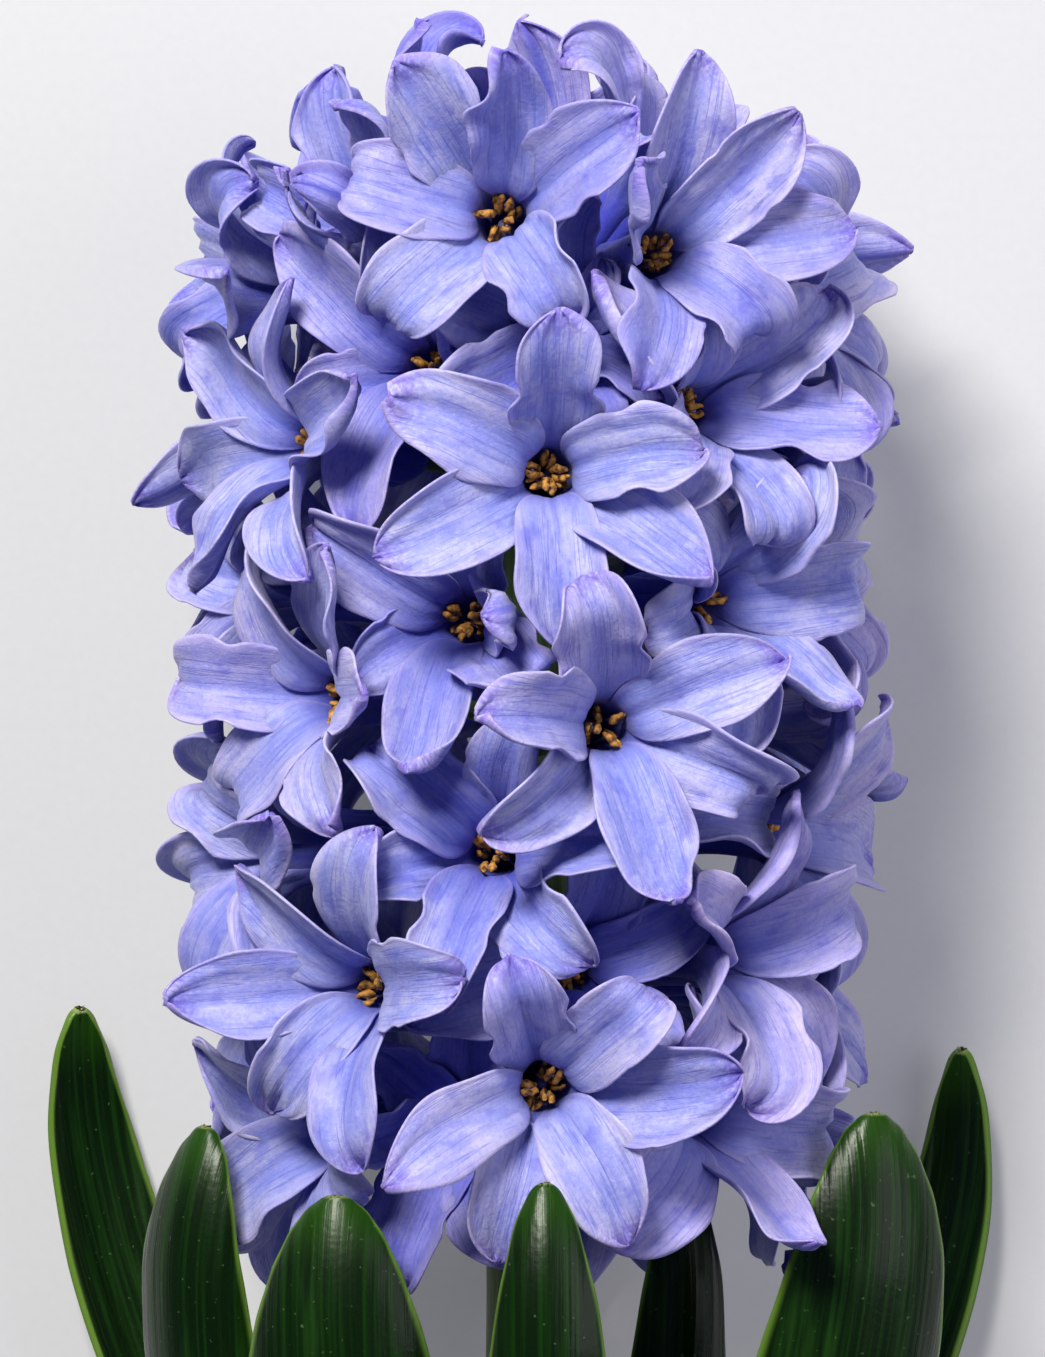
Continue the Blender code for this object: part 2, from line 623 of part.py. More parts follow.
def plate_object(collection, look, root):
    """The slice of bulb plate: a low disc across the stalk's cut foot."""
    bpy.ops.mesh.primitive_cylinder_add(vertices=28, radius=PLATE_RADIUS, depth=PLATE_THICKNESS)
    plate = bpy.context.object
    plate.name = "bulb_plate"
    plate.rotation_euler = (math.pi / 2, 0, 0)
    plate.location = (0, FOOT_Y - PIECE_GAP - PLATE_THICKNESS / 2, FOOT_AXIS_Z)
    for old in plate.users_collection:
        old.objects.unlink(plate)
    collection.objects.link(plate)
    plate.data.materials.append(look)
    bevel = plate.modifiers.new("worn rim", "BEVEL")
    bevel.width = 0.0007
    bevel.segments = 1
    plate.parent = root


def settle_origin(collection, root):
    """Moves the root so that the whole flower's box is centred over the origin and rests at z = 0."""
    bpy.context.view_layer.update()
    graph = bpy.context.evaluated_depsgraph_get()
    corners = []
    for obj in collection.objects:
        evaluated = obj.evaluated_get(graph)
        mesh = evaluated.to_mesh()
        co = np.empty(len(mesh.vertices) * 3, np.float32)
        mesh.vertices.foreach_get("co", co)
        world = np.array(evaluated.matrix_world)
        corners.append(co.reshape(-1, 3) @ world[:3, :3].T + world[:3, 3])
        evaluated.to_mesh_clear()
    corners = np.concatenate(corners)
    low, high = corners.min(0), corners.max(0)
    root.location = (-(low[0] + high[0]) / 2, -(low[1] + high[1]) / 2, -low[2])


def main():
    for obj in list(bpy.data.objects):
        bpy.data.objects.remove(obj)
    collection = bpy.data.collections.new("hyacinth_flower")
    cutters = bpy.data.collections.new("joined_pedicels")
    for made in (collection, cutters):
        bpy.context.scene.collection.children.link(made)
    root = bpy.data.objects.new("hyacinth", None)
    bpy.context.scene.collection.objects.link(root)

    petal_look = material("petal", PETAL_BLUE, 0.55)
    stalk_look = material("stalk", STALK_GREEN, 0.5)
    leaf_look = material("leaf", LEAF_GREEN, 0.35)
    plate_look = material("bulb_plate", PLATE_CREAM, 0.8)

    places = BELLS
    frames = [bell_frame(place) for place in places]
    fixed = []
    for number, (place, frame) in enumerate(zip(places, frames)):
        centre = frame @ Vector((0, 0, -TUBE_LENGTH / 2))
        fixed.append((centre, number, tube_shape(frame, CLEARANCE)))
        fixed.append((centre, None, pedicel_shape(place, frame, CLEARANCE)))
    stations = np.linspace(0, STALK_TIP_Y, 8)
    for low, high in zip(stations, stations[1:]):
        fixed.append((stalk_axis((low + high) / 2), None, stalk_shape(low, high, 2 * CLEARANCE)))
    leaf_rows = np.linspace(0.3, 1, 16)
    leaf_columns = np.linspace(-1, 1, 5)
    for place in LEAVES.values():
        points, normals = leaf_surface(place, leaf_rows, leaf_columns)
        whole = slab(points, normals, LEAF_THICKNESS / 2 + CLEARANCE)
        fixed.append((Vector(points[-3, 2]), None, whole))

    settled = settled_petals(places, frames, fixed)
    for number, (frame, petals) in enumerate(zip(frames, settled)):
        name = f"bell_{number + 1:02d}"
        bell = put(name, bell_mesh(name, petals), petal_look, collection, root)
        bell.location = frame.translation
        bell.rotation_euler = frame.to_euler()
        thickened(bell, WALL)
    for name, place in LEAVES.items():
        leaf = put(name, leaf_mesh(name, place), leaf_look, collection, root)
        thickened(leaf, LEAF_THICKNESS)
    stalk_object(collection, cutters, places, frames, stalk_look, root)
    plate_object(collection, plate_look, root)
    settle_origin(collection, root)


if __name__ == "__main__":
    main()
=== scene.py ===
"""Looks of a cut hyacinth lying on its side: the bells with their veined, curling petals and golden
anthers, the fleshy stalk and its pedicels, the glossy strap leaves and the slice of bulb plate.
Every piece is a surface worked out on a grid and stands for the plain solid of the same name."""

import itertools
import json
import math
import random
from collections import namedtuple

import bpy
import numpy as np
from mathutils import Matrix, Vector
from mathutils.bvhtree import BVHTree

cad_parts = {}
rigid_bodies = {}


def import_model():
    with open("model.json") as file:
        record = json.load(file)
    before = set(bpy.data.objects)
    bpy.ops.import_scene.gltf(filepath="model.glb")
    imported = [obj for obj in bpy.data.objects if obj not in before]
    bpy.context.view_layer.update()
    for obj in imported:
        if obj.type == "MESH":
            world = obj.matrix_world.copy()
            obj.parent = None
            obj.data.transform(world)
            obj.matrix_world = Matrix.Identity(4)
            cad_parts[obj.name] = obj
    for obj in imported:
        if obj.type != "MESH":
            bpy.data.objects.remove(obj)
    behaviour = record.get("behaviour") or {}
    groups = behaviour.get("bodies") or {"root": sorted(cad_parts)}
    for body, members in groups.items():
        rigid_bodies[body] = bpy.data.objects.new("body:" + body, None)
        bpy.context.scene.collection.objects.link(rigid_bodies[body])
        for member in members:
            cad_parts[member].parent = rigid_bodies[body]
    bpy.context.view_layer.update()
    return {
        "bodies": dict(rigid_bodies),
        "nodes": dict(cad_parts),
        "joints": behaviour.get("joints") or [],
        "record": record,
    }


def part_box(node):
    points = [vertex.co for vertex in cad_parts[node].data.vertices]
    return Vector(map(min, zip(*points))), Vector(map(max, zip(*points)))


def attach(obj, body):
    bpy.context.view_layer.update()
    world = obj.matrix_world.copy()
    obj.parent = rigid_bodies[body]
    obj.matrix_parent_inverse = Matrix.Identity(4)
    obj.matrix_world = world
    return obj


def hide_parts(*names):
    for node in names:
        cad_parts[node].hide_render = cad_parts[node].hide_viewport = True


# The construction's own sizes, in metres and degrees: the solids follow these, and so do the looks.
HEAD_AXIS_Z = 0.034
FOOT_AXIS_Z = 0.0155
FOOT_Y = -0.113
STALK_TIP_Y = 0.107
STALK_RADIUS = 0.0048
STALK_TIP_RADIUS = 0.0022
PEDICEL_RADIUS = 0.0011
PIECE_GAP = 0.0004
TUBE_LENGTH = 0.013
THROAT_RADIUS = 0.0031
OVARY_RADIUS = 0.0028
OVARY_Z = -0.0095
PETAL_COUNT = 6
PETAL_LENGTH = 0.0190
PETAL_WIDTH = 0.0105
BASE_LEAN = 24.0
WALL = 0.0007
LEAF_THICKNESS = 0.0018
LEAF_BASE_WIDTH = 0.0078
PLATE_RADIUS = 0.0150
PLATE_THICKNESS = 0.005

# Each bell: how far up the head its throat is and how far from the stalk's axis, in millimetres, and in
# degrees the way it faces round the stalk, its petals' roll, its tilt to the tip and its petals' lean.
BellPlace = namedtuple("BellPlace", "height around reach roll tilt lean")
BELL_ROWS = (
    (80, 4, 27.5, 5, 2, 112),
    (54, 16, 27.5, 50, 0, 108),
    (17, 3, 27.5, 45, -4, 106),
    (106.5, -7, 25.5, 34, 10, 94),
    (103, 29, 26.5, 14, 10, 108),
    (27, -38, 26, 30, -2, 118),
    (83, -60, 26, 20, 4, 124),
    (87, 42, 24.5, 50, 6, 108),
    (67, 45, 25.5, 20, 0, 112),
    (57, -51, 25.5, 10, 2, 112),
    (30, 49, 25, 5, 2, 122),
    (14, 42, 24.5, 40, -2, 112),
    (12, -52, 24.5, 55, -6, 118),
    (100, -84, 25.5, 45, 10, 116),
    (99, 74, 26, 15, 10, 122),
    (43, 71, 26, 35, -2, 118),
    (40, -72, 26, 25, -2, 120),
    (65, -18, 21.5, 0, 2, 100),
    (94, 8, 18.5, 50, 4, 92),
    (41, -10, 21.5, 20, 0, 98),
    (91, -30, 21, 15, 4, 96),
    (104.5, -45, 21, 40, 20, 48),
    (68, 80, 26, 10, 2, 112),
    (68, -84, 24.5, 40, 2, 112),
    (55, 104, 24.5, 30, 0, 116),
    (28, 91, 24.5, 10, -2, 112),
    (24, -82, 23, 50, -4, 114),
    (10, 104, 21.5, 30, -8, 108),
    (9, 163, 22, 40, -10, 108),
    (10, -108, 21.5, 5, -8, 112),
    (26, 132, 23, 50, -4, 110),
    (27, -142, 23, 25, -4, 108),
    (40, 165, 24, 0, 0, 106),
    (42, -112, 24.5, 45, 0, 114),
    (55, 142, 24, 15, 0, 108),
    (56, -152, 24, 35, 0, 106),
    (72, 122, 24.5, 20, 3, 112),
    (71, 172, 24, 55, 3, 106),
    (71, -128, 24.5, 10, 3, 112),
    (86, 92, 25, 40, 6, 114),
    (89, 150, 23.5, 25, 8, 106),
    (86, -158, 23, 50, 6, 106),
    (86, -108, 24.5, 5, 6, 112),
    (102, 122, 24, 30, 14, 108),
    (103, 180, 22, 10, 18, 100),
    (102, -128, 24, 45, 14, 108),
    (110, 60, 12.4, 15, 50, 76),
    (110, -100, 12.4, 40, 52, 84),
    (111, 168, 12.4, 0, 52, 80),
    (29, 12, 18.5, 15, 0, 84),
    (13, -22, 18, 20, -4, 84),
)
BELLS = [BellPlace(*row) for row in BELL_ROWS]

# The bells whose petals are each given one by one: angle, lean, drift and twist in degrees, length and width
# as shares of the usual, and how late the petal bends.
OwnPetal = namedtuple("OwnPetal", "angle lean length width ease drift twist")
OWN_PETAL_ROWS = {
    1: [
        (0, 58, 1.0, 1.0, 1.0, 0, 4),
        (76, 152, 0.86, 1.0, 1.7, 6, -10),
        (123, 112, 1.03, 1.03, 0.9, 4, 8),
        (176, 104, 0.95, 1.0, 0.8, 0, 0),
        (240, 108, 1.05, 1.0, 0.8, 4, -12),
        (300, 140, 0.95, 1.0, 1.2, -6, 6),
    ],
    2: [
        (-18, 92, 1.0, 1.08, 0.9, 0, 6),
        (62, 112, 1.0, 0.95, 1.1, 6, 16),
        (112, 104, 1.05, 1.0, 1.0, 0, -8),
        (168, 94, 1.1, 1.0, 0.8, 0, 6),
        (226, 128, 0.98, 0.95, 1.2, 8, 34),
        (280, 84, 1.0, 1.05, 1.3, -6, -14),
    ],
    3: [
        (-16, 62, 0.92, 0.95, 1.1, 0, -8),
        (42, 80, 0.96, 0.92, 1.0, 4, 12),
        (91, 98, 1.05, 1.1, 0.8, -8, -6),
        (146, 165, 0.95, 0.95, 1.8, 6, 20),
        (200, 120, 0.95, 1.0, 1.0, -4, 0),
        (256, 84, 1.08, 0.85, 1.0, -14, -30),
    ],
    4: [
        (-32, 66, 1.0, 1.05, 0.9, -4, 8),
        (14, 60, 0.98, 0.86, 0.9, -4, -6),
        (66, 100, 1.0, 1.05, 1.3, -4, 10),
        (144, 136, 0.72, 1.02, 1.1, 4, -14),
        (220, 126, 1.0, 1.02, 1.1, 4, 10),
        (276, 96, 0.95, 0.98, 0.9, 6, -8),
    ],
    5: [
        (0, 82, 1.06, 1.02, 0.9, 2, -6),
        (46, 72, 1.0, 0.95, 1.0, -4, 38),
        (92, 104, 1.06, 1.02, 0.9, -6, 6),
        (140, 166, 0.86, 1.0, 1.8, 0, -8),
        (200, 146, 0.86, 0.95, 1.3, 0, 10),
        (296, 34, 0.84, 1.0, 1.0, 8, 10),
    ],
    6: [
        (20, 98, 1.0, 1.05, 1.0, 0, 8),
        (84, 104, 0.88, 1.0, 1.1, 0, -16),
        (160, 100, 1.12, 0.88, 1.4, 4, 10),
        (210, 168, 0.9, 0.95, 1.6, 0, 14),
        (267, 68, 1.06, 0.95, 0.9, 0, -8),
        (320, 152, 0.95, 0.95, 1.5, -6, 20),
    ],
    10: [
        (34, 94, 1.0, 1.08, 0.9, 0, 6),
        (90, 112, 0.76, 0.95, 1.2, 0, -10),
        (150, 162, 0.86, 0.95, 1.7, 0, 16),
        (214, 132, 0.96, 1.0, 1.1, 6, -12),
        (276, 76, 1.0, 1.04, 1.0, 0, 8),
        (330, 102, 0.96, 0.95, 1.0, -6, 30),
    ],
    18: [
        (24, 78, 0.9, 1.0, 1.1, 0, 10),
        (80, 60, 0.9, 1.0, 1.5, 10, -20),
        (128, 76, 0.92, 1.05, 1.3, -4, 16),
        (186, 96, 1.04, 1.0, 1.0, 0, -6),
        (246, 96, 1.0, 0.98, 1.0, 0, 8),
        (304, 90, 1.0, 1.0, 0.9, 0, -10),
    ],
}
OWN_PETALS = {bell: [OwnPetal(*row) for row in rows] for bell, rows in OWN_PETAL_ROWS.items()}

# Each leaf: its tip and width in millimetres, where it leaves the stalk (degrees and millimetres), how
# far it rises on the way and how far its face turns.
LeafPlace = namedtuple("LeafPlace", "tip width root_angle root_distance rise turn")
LEAVES = {
    "leaf_far_left": LeafPlace((-51, 22.5, 2.8), 14.0, -110, 10.4, 3, -48),
    "leaf_left": LeafPlace((-36, 12, 49), 18.0, -76, 13.4, 8, 40),
    "leaf_front_left": LeafPlace((-20.5, 5.8, 67), 24.0, -32, 10.2, 5, 22),
    "leaf_front": LeafPlace((1.5, 8, 74), 14.5, 3, 13.4, 9, -3),
    "leaf_inner": LeafPlace((17.5, 5.5, 33), 14.0, 90, 8.0, 1, -66),
    "leaf_right": LeafPlace((37, 13.5, 53), 23.0, 48, 12.9, 5, -30),
    "leaf_far_right": LeafPlace((49, 18, 2.8), 12.0, 114, 12.0, 3, 44),
}

# Grids: how many rows and columns each surface gets, and how far their columns crowd to the margins.
TUBE_ROWS = 12
PETAL_ROWS = 40
PETAL_COLUMNS = 15
PETAL_CROWDING = 0.86
LEAF_ROWS = 110
LEAF_COLUMNS = 19
LEAF_CROWDING = 0.9
STALK_ROWS = 150
STALK_SIDES = 40
PEDICEL_ROWS = 14
PEDICEL_SIDES = 14
PLATE_SIDES = 96

# Petals: the inner three stand a step in from the outer three, a tip curls by one of CURLS (degrees) if
# it clears its neighbours by TIP_ROOM, and each margin takes one ripple and one roll.
INNER_STEP = 0.0011
OUTER_STEP = -0.0001
OVERLAP, ROOM = 0.9, 0.505
CURLS = (-110, -70, -30, 15, 40, 70, 100, 130, 160)
TIP_ROOM = 0.0005
NEIGHBOUR_REACH = 0.028
PETAL_THICK = 0.0006
PETAL_RIM = 0.00022
CHANNEL_DEPTH = 0.0006
CHANNEL_WIDTH = 0.15
RIPPLES = (0.00015, 0.0003, 0.0005, 0.0009)
ROLLS_MM = (-0.6, -0.2, 0.2, 0.6, 1.3)
PINCHES = (-0.5, 0.6, 1.0)
PINCH_DEPTH = 0.0008
TUBE_BASE_RADIUS = 0.0009
TUBE_WAIST = 0.0004
TUBE_RIDGE = 0.00018
LEAF_RIM = 0.0007

# Petals under the head press on the surface from this height down, and give this much.
PRESS_FROM = 0.003
PRESS_GIVE = 0.005

# The head's heart, where painted shade darkens the petals near it: from DARK_WITHIN of the axis out to
# LIT_FROM.
HEART_TOP_Y = 0.088
DARK_WITHIN = 0.017
LIT_FROM = 0.036

MM = 0.001
FULL_TURN = 2 * np.pi

# A petal is found again when its cage lies this close to its solid; NEAR is worth a longer look.
CLOSE = 0.00012
NEAR = 0.0006


def smooth(low, high, x):
    """0 below low, 1 above high, and an S-curve between."""
    share = np.clip((np.asarray(x, float) - low) / (high - low), 0, 1)
    return share * share * (3 - 2 * share)


def srgb(code):
    """An sRGB hex colour as linear red, green, blue and alpha."""
    channels = [int(code[i : i + 2], 16) / 255 for i in (1, 3, 5)]
    return (*[c / 12.92 if c < 0.04045 else ((c + 0.055) / 1.055) ** 2.4 for c in channels], 1.0)


# ---------------------------------------------------------------- construction, as the solids have it


def stalk_axis(y):
    """The stalk's middle at y: it rises in an S-curve from the foot to the head."""
    share = min(1.0, max(0.0, (y - FOOT_Y) / -FOOT_Y))
    return Vector((0.0, y, FOOT_AXIS_Z + (HEAD_AXIS_Z - FOOT_AXIS_Z) * share * share * (3 - 2 * share)))


def stalk_radius(y):
    """The stalk's radius at y: over the head it thins as the power 1.5 of the way to the tip."""
    share = max(0.0, y) / STALK_TIP_Y
    return STALK_RADIUS + (STALK_TIP_RADIUS - STALK_RADIUS) * share**1.5


def bell_frame(place):
    """The throat's frame: +Z out of the mouth, +Y towards the head's tip, the origin in the throat."""
    around, tilt = math.radians(place.around), math.radians(place.tilt)
    outward = Vector((math.sin(around), 0, math.cos(around)))
    along = Vector((0, 1, 0))
    mouth = outward * math.cos(tilt) + along * math.sin(tilt)
    up = along * math.cos(tilt) - outward * math.sin(tilt)
    throat = stalk_axis(place.height / 1000) + outward * (place.reach / 1000)
    frame = Matrix((up.cross(mouth), up, mouth)).transposed().to_4x4()
    frame.translation = throat
    return frame


Petal = namedtuple("Petal", "angle length width bend ease drift twist cup")


def changed(petal, change):
    """The petal with its bend, drift and twist added to, and its length and width scaled."""
    bend, drift, twist, length = change
    return petal._replace(
        length=petal.length * length,
        width=petal.width * length**0.5,
        bend=petal.bend + bend,
        drift=petal.drift + drift,
        twist=petal.twist + twist,
    )


# A petal's habits: how much further its tip leans, in degrees, and how late it bends.
HABITS = ((-36, 0.9), (-14, 1.2), (-4, 0.8), (2, 1.3), (8, 0.9), (30, 1.5), (48, 1.9), (70, 2.4))


def natural_petals(place, number):
    """The bell's six petals as they would grow alone: its own, or by chance each of one habit."""
    rng = random.Random(1000 + number)
    if number + 1 in OWN_PETALS:
        return [
            Petal(
                angle=own.angle, length=PETAL_LENGTH * own.length, width=PETAL_WIDTH * own.width,
                bend=own.lean - BASE_LEAN, ease=own.ease, drift=own.drift, twist=own.twist,
                cup=rng.uniform(0.35, 0.75),
            )
            for own in OWN_PETALS[number + 1]
        ]
    petals = []
    for k in range(PETAL_COUNT):
        inner = k % 2
        lean, ease = rng.choice(HABITS)
        petals.append(
            Petal(
                angle=place.roll + 60 * k + rng.uniform(-5, 5),
                length=PETAL_LENGTH * rng.uniform(0.93, 1.07),
                width=PETAL_WIDTH * (1.03 if inner else 0.94) * rng.uniform(0.94, 1.06),
                bend=place.lean - BASE_LEAN + lean + rng.uniform(-8, 8),
                ease=ease * rng.uniform(0.85, 1.2),
                drift=rng.uniform(-12, 12),
                twist=rng.uniform(-32, 32),
                cup=rng.uniform(0.35, 0.8),
            )
        )
    return petals


def petal_changes():
    """Every change of bend, drift, twist (degrees) and length (share), the smallest change first."""
    changes = itertools.product(
        (0, -14, 14, -28, 30, -45, 55, -65, 80, -90),
        (0, -9, 9, -18, 18),
        (0, -25, 25, -50, 50),
        (1, 0.88, 0.76, 0.62, 0.5),
    )

    def size(change):
        """How much a change alters the petal: its four amounts, each over a step of its own kind."""
        bend, drift, twist, length = change
        return abs(bend) / 14 + abs(drift) / 10 + abs(twist) / 30 + (1 - length) * 14

    return sorted(changes, key=size)


CHANGES = petal_changes()


def petal_outline(along):
    """Share of the full width: about half at the throat, full past the middle, a narrow round tip."""
    widest = 0.54
    lower = 0.5 + 0.5 * np.sin(np.pi / 2 * np.clip(along / widest, 0, 1))
    upper = np.clip(1 - (np.maximum(along - widest, 0) / (1 - widest)) ** 2.0, 0, 1) ** 0.68
    return np.where(along < widest, lower, upper)


def petal_centreline(petal, along, roll=0.0):
    """Centre, side and inner-face normal along a petal, and its distance from the mouth's axis. The
    lean from that axis grows as a power of the length, and the side turns about the petal's own line.
    roll is a further lean in degrees that comes in over the last third, where the tip curls."""
    steps = np.linspace(0, 1, 61)
    lean = np.radians(BASE_LEAN + petal.bend * steps**petal.ease + roll * smooth(0.62, 1.1, steps))
    stride = petal.length / (len(steps) - 1)
    out = np.concatenate([[0], np.cumsum((np.sin(lean)[1:] + np.sin(lean)[:-1]) / 2)]) * stride
    rise = np.concatenate([[0], np.cumsum((np.cos(lean)[1:] + np.cos(lean)[:-1]) / 2)]) * stride
    back = np.minimum(along, 0) * petal.length
    radius = THROAT_RADIUS + np.interp(along, steps, out) + back * math.sin(lean[0])
    height = np.interp(along, steps, rise) + back * math.cos(lean[0])
    lean = np.interp(along, steps, lean)
    angle = np.radians(petal.angle + petal.drift * along**2)
    zero = np.zeros_like(angle)
    outward = np.stack([np.sin(angle), np.cos(angle), zero], 1)
    side = np.stack([np.cos(angle), -np.sin(angle), zero], 1)
    mouth = np.array([0.0, 0.0, 1.0])
    normal = mouth * np.sin(lean)[:, None] - outward * np.cos(lean)[:, None]
    turn = np.radians(petal.twist * np.maximum(along, 0))[:, None]
    side, normal = side * np.cos(turn) + normal * np.sin(turn), normal * np.cos(turn) - side * np.sin(turn)
    return outward * radius[:, None] + mouth * height[:, None], side, normal, radius


# The plain solid's cage and the coarse sheet, as shares of a petal's length and half width. A petal's half
# width stays under PETAL_ROOM of its distance from the mouth's axis.
CAGE_ALONG = np.array([0.3, 0.6, 0.85, 1.0])
CAGE_ACROSS = np.array([-1.0, 0.0, 1.0])
CAGE_POINTS = 10
SHEET_ALONG = np.array([0.2, 0.4, 0.6, 0.72, 0.82, 0.91, 0.98])
SHEET_ACROSS = np.linspace(-1, 1, 5)
SHEET_QUADS = [
    (first, first + 1, first + 1 + len(SHEET_ACROSS), first + len(SHEET_ACROSS))
    for first in range((len(SHEET_ALONG) - 1) * len(SHEET_ACROSS))
    if (first + 1) % len(SHEET_ACROSS)
]
PETAL_ROOM = 0.48


def cupped(centre, side, normal, half, cup, across):
    """Rows of points across a centreline. Each row is an arc that bends towards the normal: half is
    its half width, and cup its angle in radians from the middle to the margin."""
    arc = across[None] * cup
    sideways = np.sin(arc) / cup * half
    lifted = (1 - np.cos(arc)) / cup * half
    return centre[:, None] + side[:, None] * sideways[:, :, None] + normal[:, None] * lifted[:, :, None]


def petal_points(petal, along, across, roll=0.0):
    """A plain petal's points at the given shares of its length and of its half width."""
    centre, side, normal, radius = petal_centreline(petal, along, roll)
    half = np.minimum(petal.width / 2 * petal_outline(along), PETAL_ROOM * radius)[:, None]
    return cupped(centre, side, normal, half, petal.cup, across).reshape(-1, 3)


def settled_petals(place, number, corners):
    """The bell's petals as its solid has them: of each petal's possible changes, the first whose cage
    lies half a wall's thickness under the solid's corners everywhere."""
    settled = []
    for natural in natural_petals(place, number):
        best, least = None, 1.0
        for change in CHANGES:
            petal = changed(natural, change)
            cage = petal_points(petal, CAGE_ALONG, CAGE_ACROSS)[:CAGE_POINTS]
            gap = corners - cage[-1]
            miss = abs(math.sqrt((gap * gap).sum(1).min()) - WALL / 2)
            if miss < least and miss < NEAR:
                gaps = np.sqrt(((cage[:, None] - corners[None]) ** 2).sum(2).min(1))
                miss = np.abs(gaps - WALL / 2).max()
            if miss < least:
                best, least = petal, miss
            if miss < CLOSE:
                break
        settled.append(best)
    return settled


# ---------------------------------------------------------------- meshes


def new_mesh(name, parts, looks, stands_for=None):
    """One object at the origin from parts: each is points, faces, attributes of three numbers a point,
    and a material's index."""
    points, faces, indices, values, first = [], [], [], {}, 0
    for corners, polygons, attributes, index in parts:
        points.append(corners)
        faces += [tuple(first + i for i in polygon) for polygon in polygons]
        indices += [index] * len(polygons)
        for key, value in attributes.items():
            values.setdefault(key, []).append(np.asarray(value, np.float32))
        first += len(corners)
    mesh = bpy.data.meshes.new(name)
    mesh.from_pydata(np.concatenate(points).tolist(), [], faces)
    for look in looks:
        mesh.materials.append(look)
    mesh.polygons.foreach_set("material_index", indices)
    for key, value in values.items():
        stored = mesh.attributes.new(key, "FLOAT_VECTOR", "POINT")
        stored.data.foreach_set("vector", np.concatenate(value).ravel())
    mesh.shade_smooth()
    obj = bpy.data.objects.new(name, mesh)
    bpy.context.scene.collection.objects.link(obj)
    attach(obj, "root")
    if stands_for:
        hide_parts(stands_for)
    return obj


def ring_faces(rows, around, capped=True):
    """Quads between closed rings of points. A cap joins a ring's first half to its second half."""
    i, j = np.meshgrid(np.arange(rows - 1), np.arange(around), indexing="ij")
    k = (j + 1) % around
    quads = np.stack([i * around + j, i * around + k, (i + 1) * around + k, (i + 1) * around + j], -1)
    faces = [tuple(quad) for quad in quads.reshape(-1, 4).tolist()]
    if capped:
        cap = [(j, j + 1, around - 2 - j, around - 1 - j) for j in range(around // 2 - 1)]
        faces += [quad[::-1] for quad in cap]
        faces += [tuple((rows - 1) * around + corner for corner in quad) for quad in cap]
    return faces


def grid_normals(points):
    """Unit normals of a grid of points, on the side that the across and along directions make."""
    normals = np.cross(np.gradient(points, axis=1), np.gradient(points, axis=0))
    return normals / np.maximum(np.linalg.norm(normals, axis=2, keepdims=True), 1e-12)


def crowded(columns, crowding):
    """Places from -1 to 1 that crowd towards both ends, as a sine does."""
    return np.sin(np.linspace(-1, 1, columns) * np.pi / 2 * crowding) / math.sin(np.pi / 2 * crowding)


def skinned(middle, thick, along, across, half, length, seed):
    """A closed shell round a middle surface: ring by ring the side its normals face, half of thick
    away, then the other side. With it go the surface numbers its finish reads: how far across and
    along each point lies in millimetres, and its shares of the way to the margin and to the tip."""
    offset = grid_normals(middle) * thick[:, :, None] / 2
    ring = np.concatenate([middle + offset, (middle - offset)[:, ::-1]], axis=1)
    rows, around = ring.shape[:2]
    both = np.concatenate([across, across[::-1]])
    inside = np.repeat([1.0, 0.0], len(across))
    one = np.ones((rows, around))
    grain = np.stack([half / MM * both, length[:, None] / MM * one, seed * one], 2)
    part = np.stack([np.abs(both) * one, along[:, None] * one, inside * one], 2)
    numbers = {"grain": grain.reshape(-1, 3), "part": part.reshape(-1, 3)}
    return ring.reshape(-1, 3), ring_faces(rows, around), numbers


def placed(points, world):
    """Points turned and shifted by a matrix."""
    matrix = np.array(world)
    return points @ matrix[:3, :3].T + matrix[:3, 3]


def moved(parts, world):
    """Parts with their points placed, and the rest of each part as it was."""
    return [(placed(points, world), *rest) for points, *rest in parts]


def arched(t, start, first, second, end):
    """A cubic curve from start to end, drawn towards first and then second on its way."""
    return (1 - t) ** 3 * start + 3 * (1 - t) ** 2 * t * first + 3 * (1 - t) * t**2 * second + t**3 * end


# ---------------------------------------------------------------- petals


def petal_sheet(petal, roll, world):
    """A coarse sheet of a petal with its curled tip, for finding what it meets."""
    return placed(petal_points(petal, SHEET_ALONG, SHEET_ACROSS, roll), world)


def curled_tips(bells, worlds):
    """How far each petal's tip curls, in degrees: the first of its chance-ordered curls whose sheet,
    and the two a hair above and below it, cross no other petal's sheet."""
    rng = random.Random(77)
    keys = list(itertools.product(range(len(bells)), range(PETAL_COUNT)))
    sheets = {(b, k): petal_sheet(bells[b][k], 0, worlds[b]) for b, k in keys}
    centres = {key: sheet.mean(0) for key, sheet in sheets.items()}
    rolls = dict.fromkeys(keys, 0)
    for b, k in keys:
        gaps = {key: np.linalg.norm(centres[key] - centres[b, k]) for key in keys}
        near = [sheets[key] for key in keys if key != (b, k) and gaps[key] < NEIGHBOUR_REACH]
        first = np.arange(len(near))[:, None, None] * len(near[0])
        quads = (first + np.array(SHEET_QUADS)).reshape(-1, 4).tolist()
        around = BVHTree.FromPolygons(np.concatenate(near).tolist(), quads)
        for roll in rng.sample(CURLS, len(CURLS)):
            sheet = petal_sheet(bells[b][k], roll, worlds[b])
            normal = np.cross(sheet[1] - sheet[0], sheet[len(SHEET_ACROSS)] - sheet[0])
            normal /= np.linalg.norm(normal)
            tries = [(sheet + room * normal).tolist() for room in (0, TIP_ROOM, -TIP_ROOM)]
            if not any(BVHTree.FromPolygons(points, SHEET_QUADS).overlap(around) for points in tries):
                rolls[b, k] = roll
                sheets[b, k] = sheet
                break
    return rolls


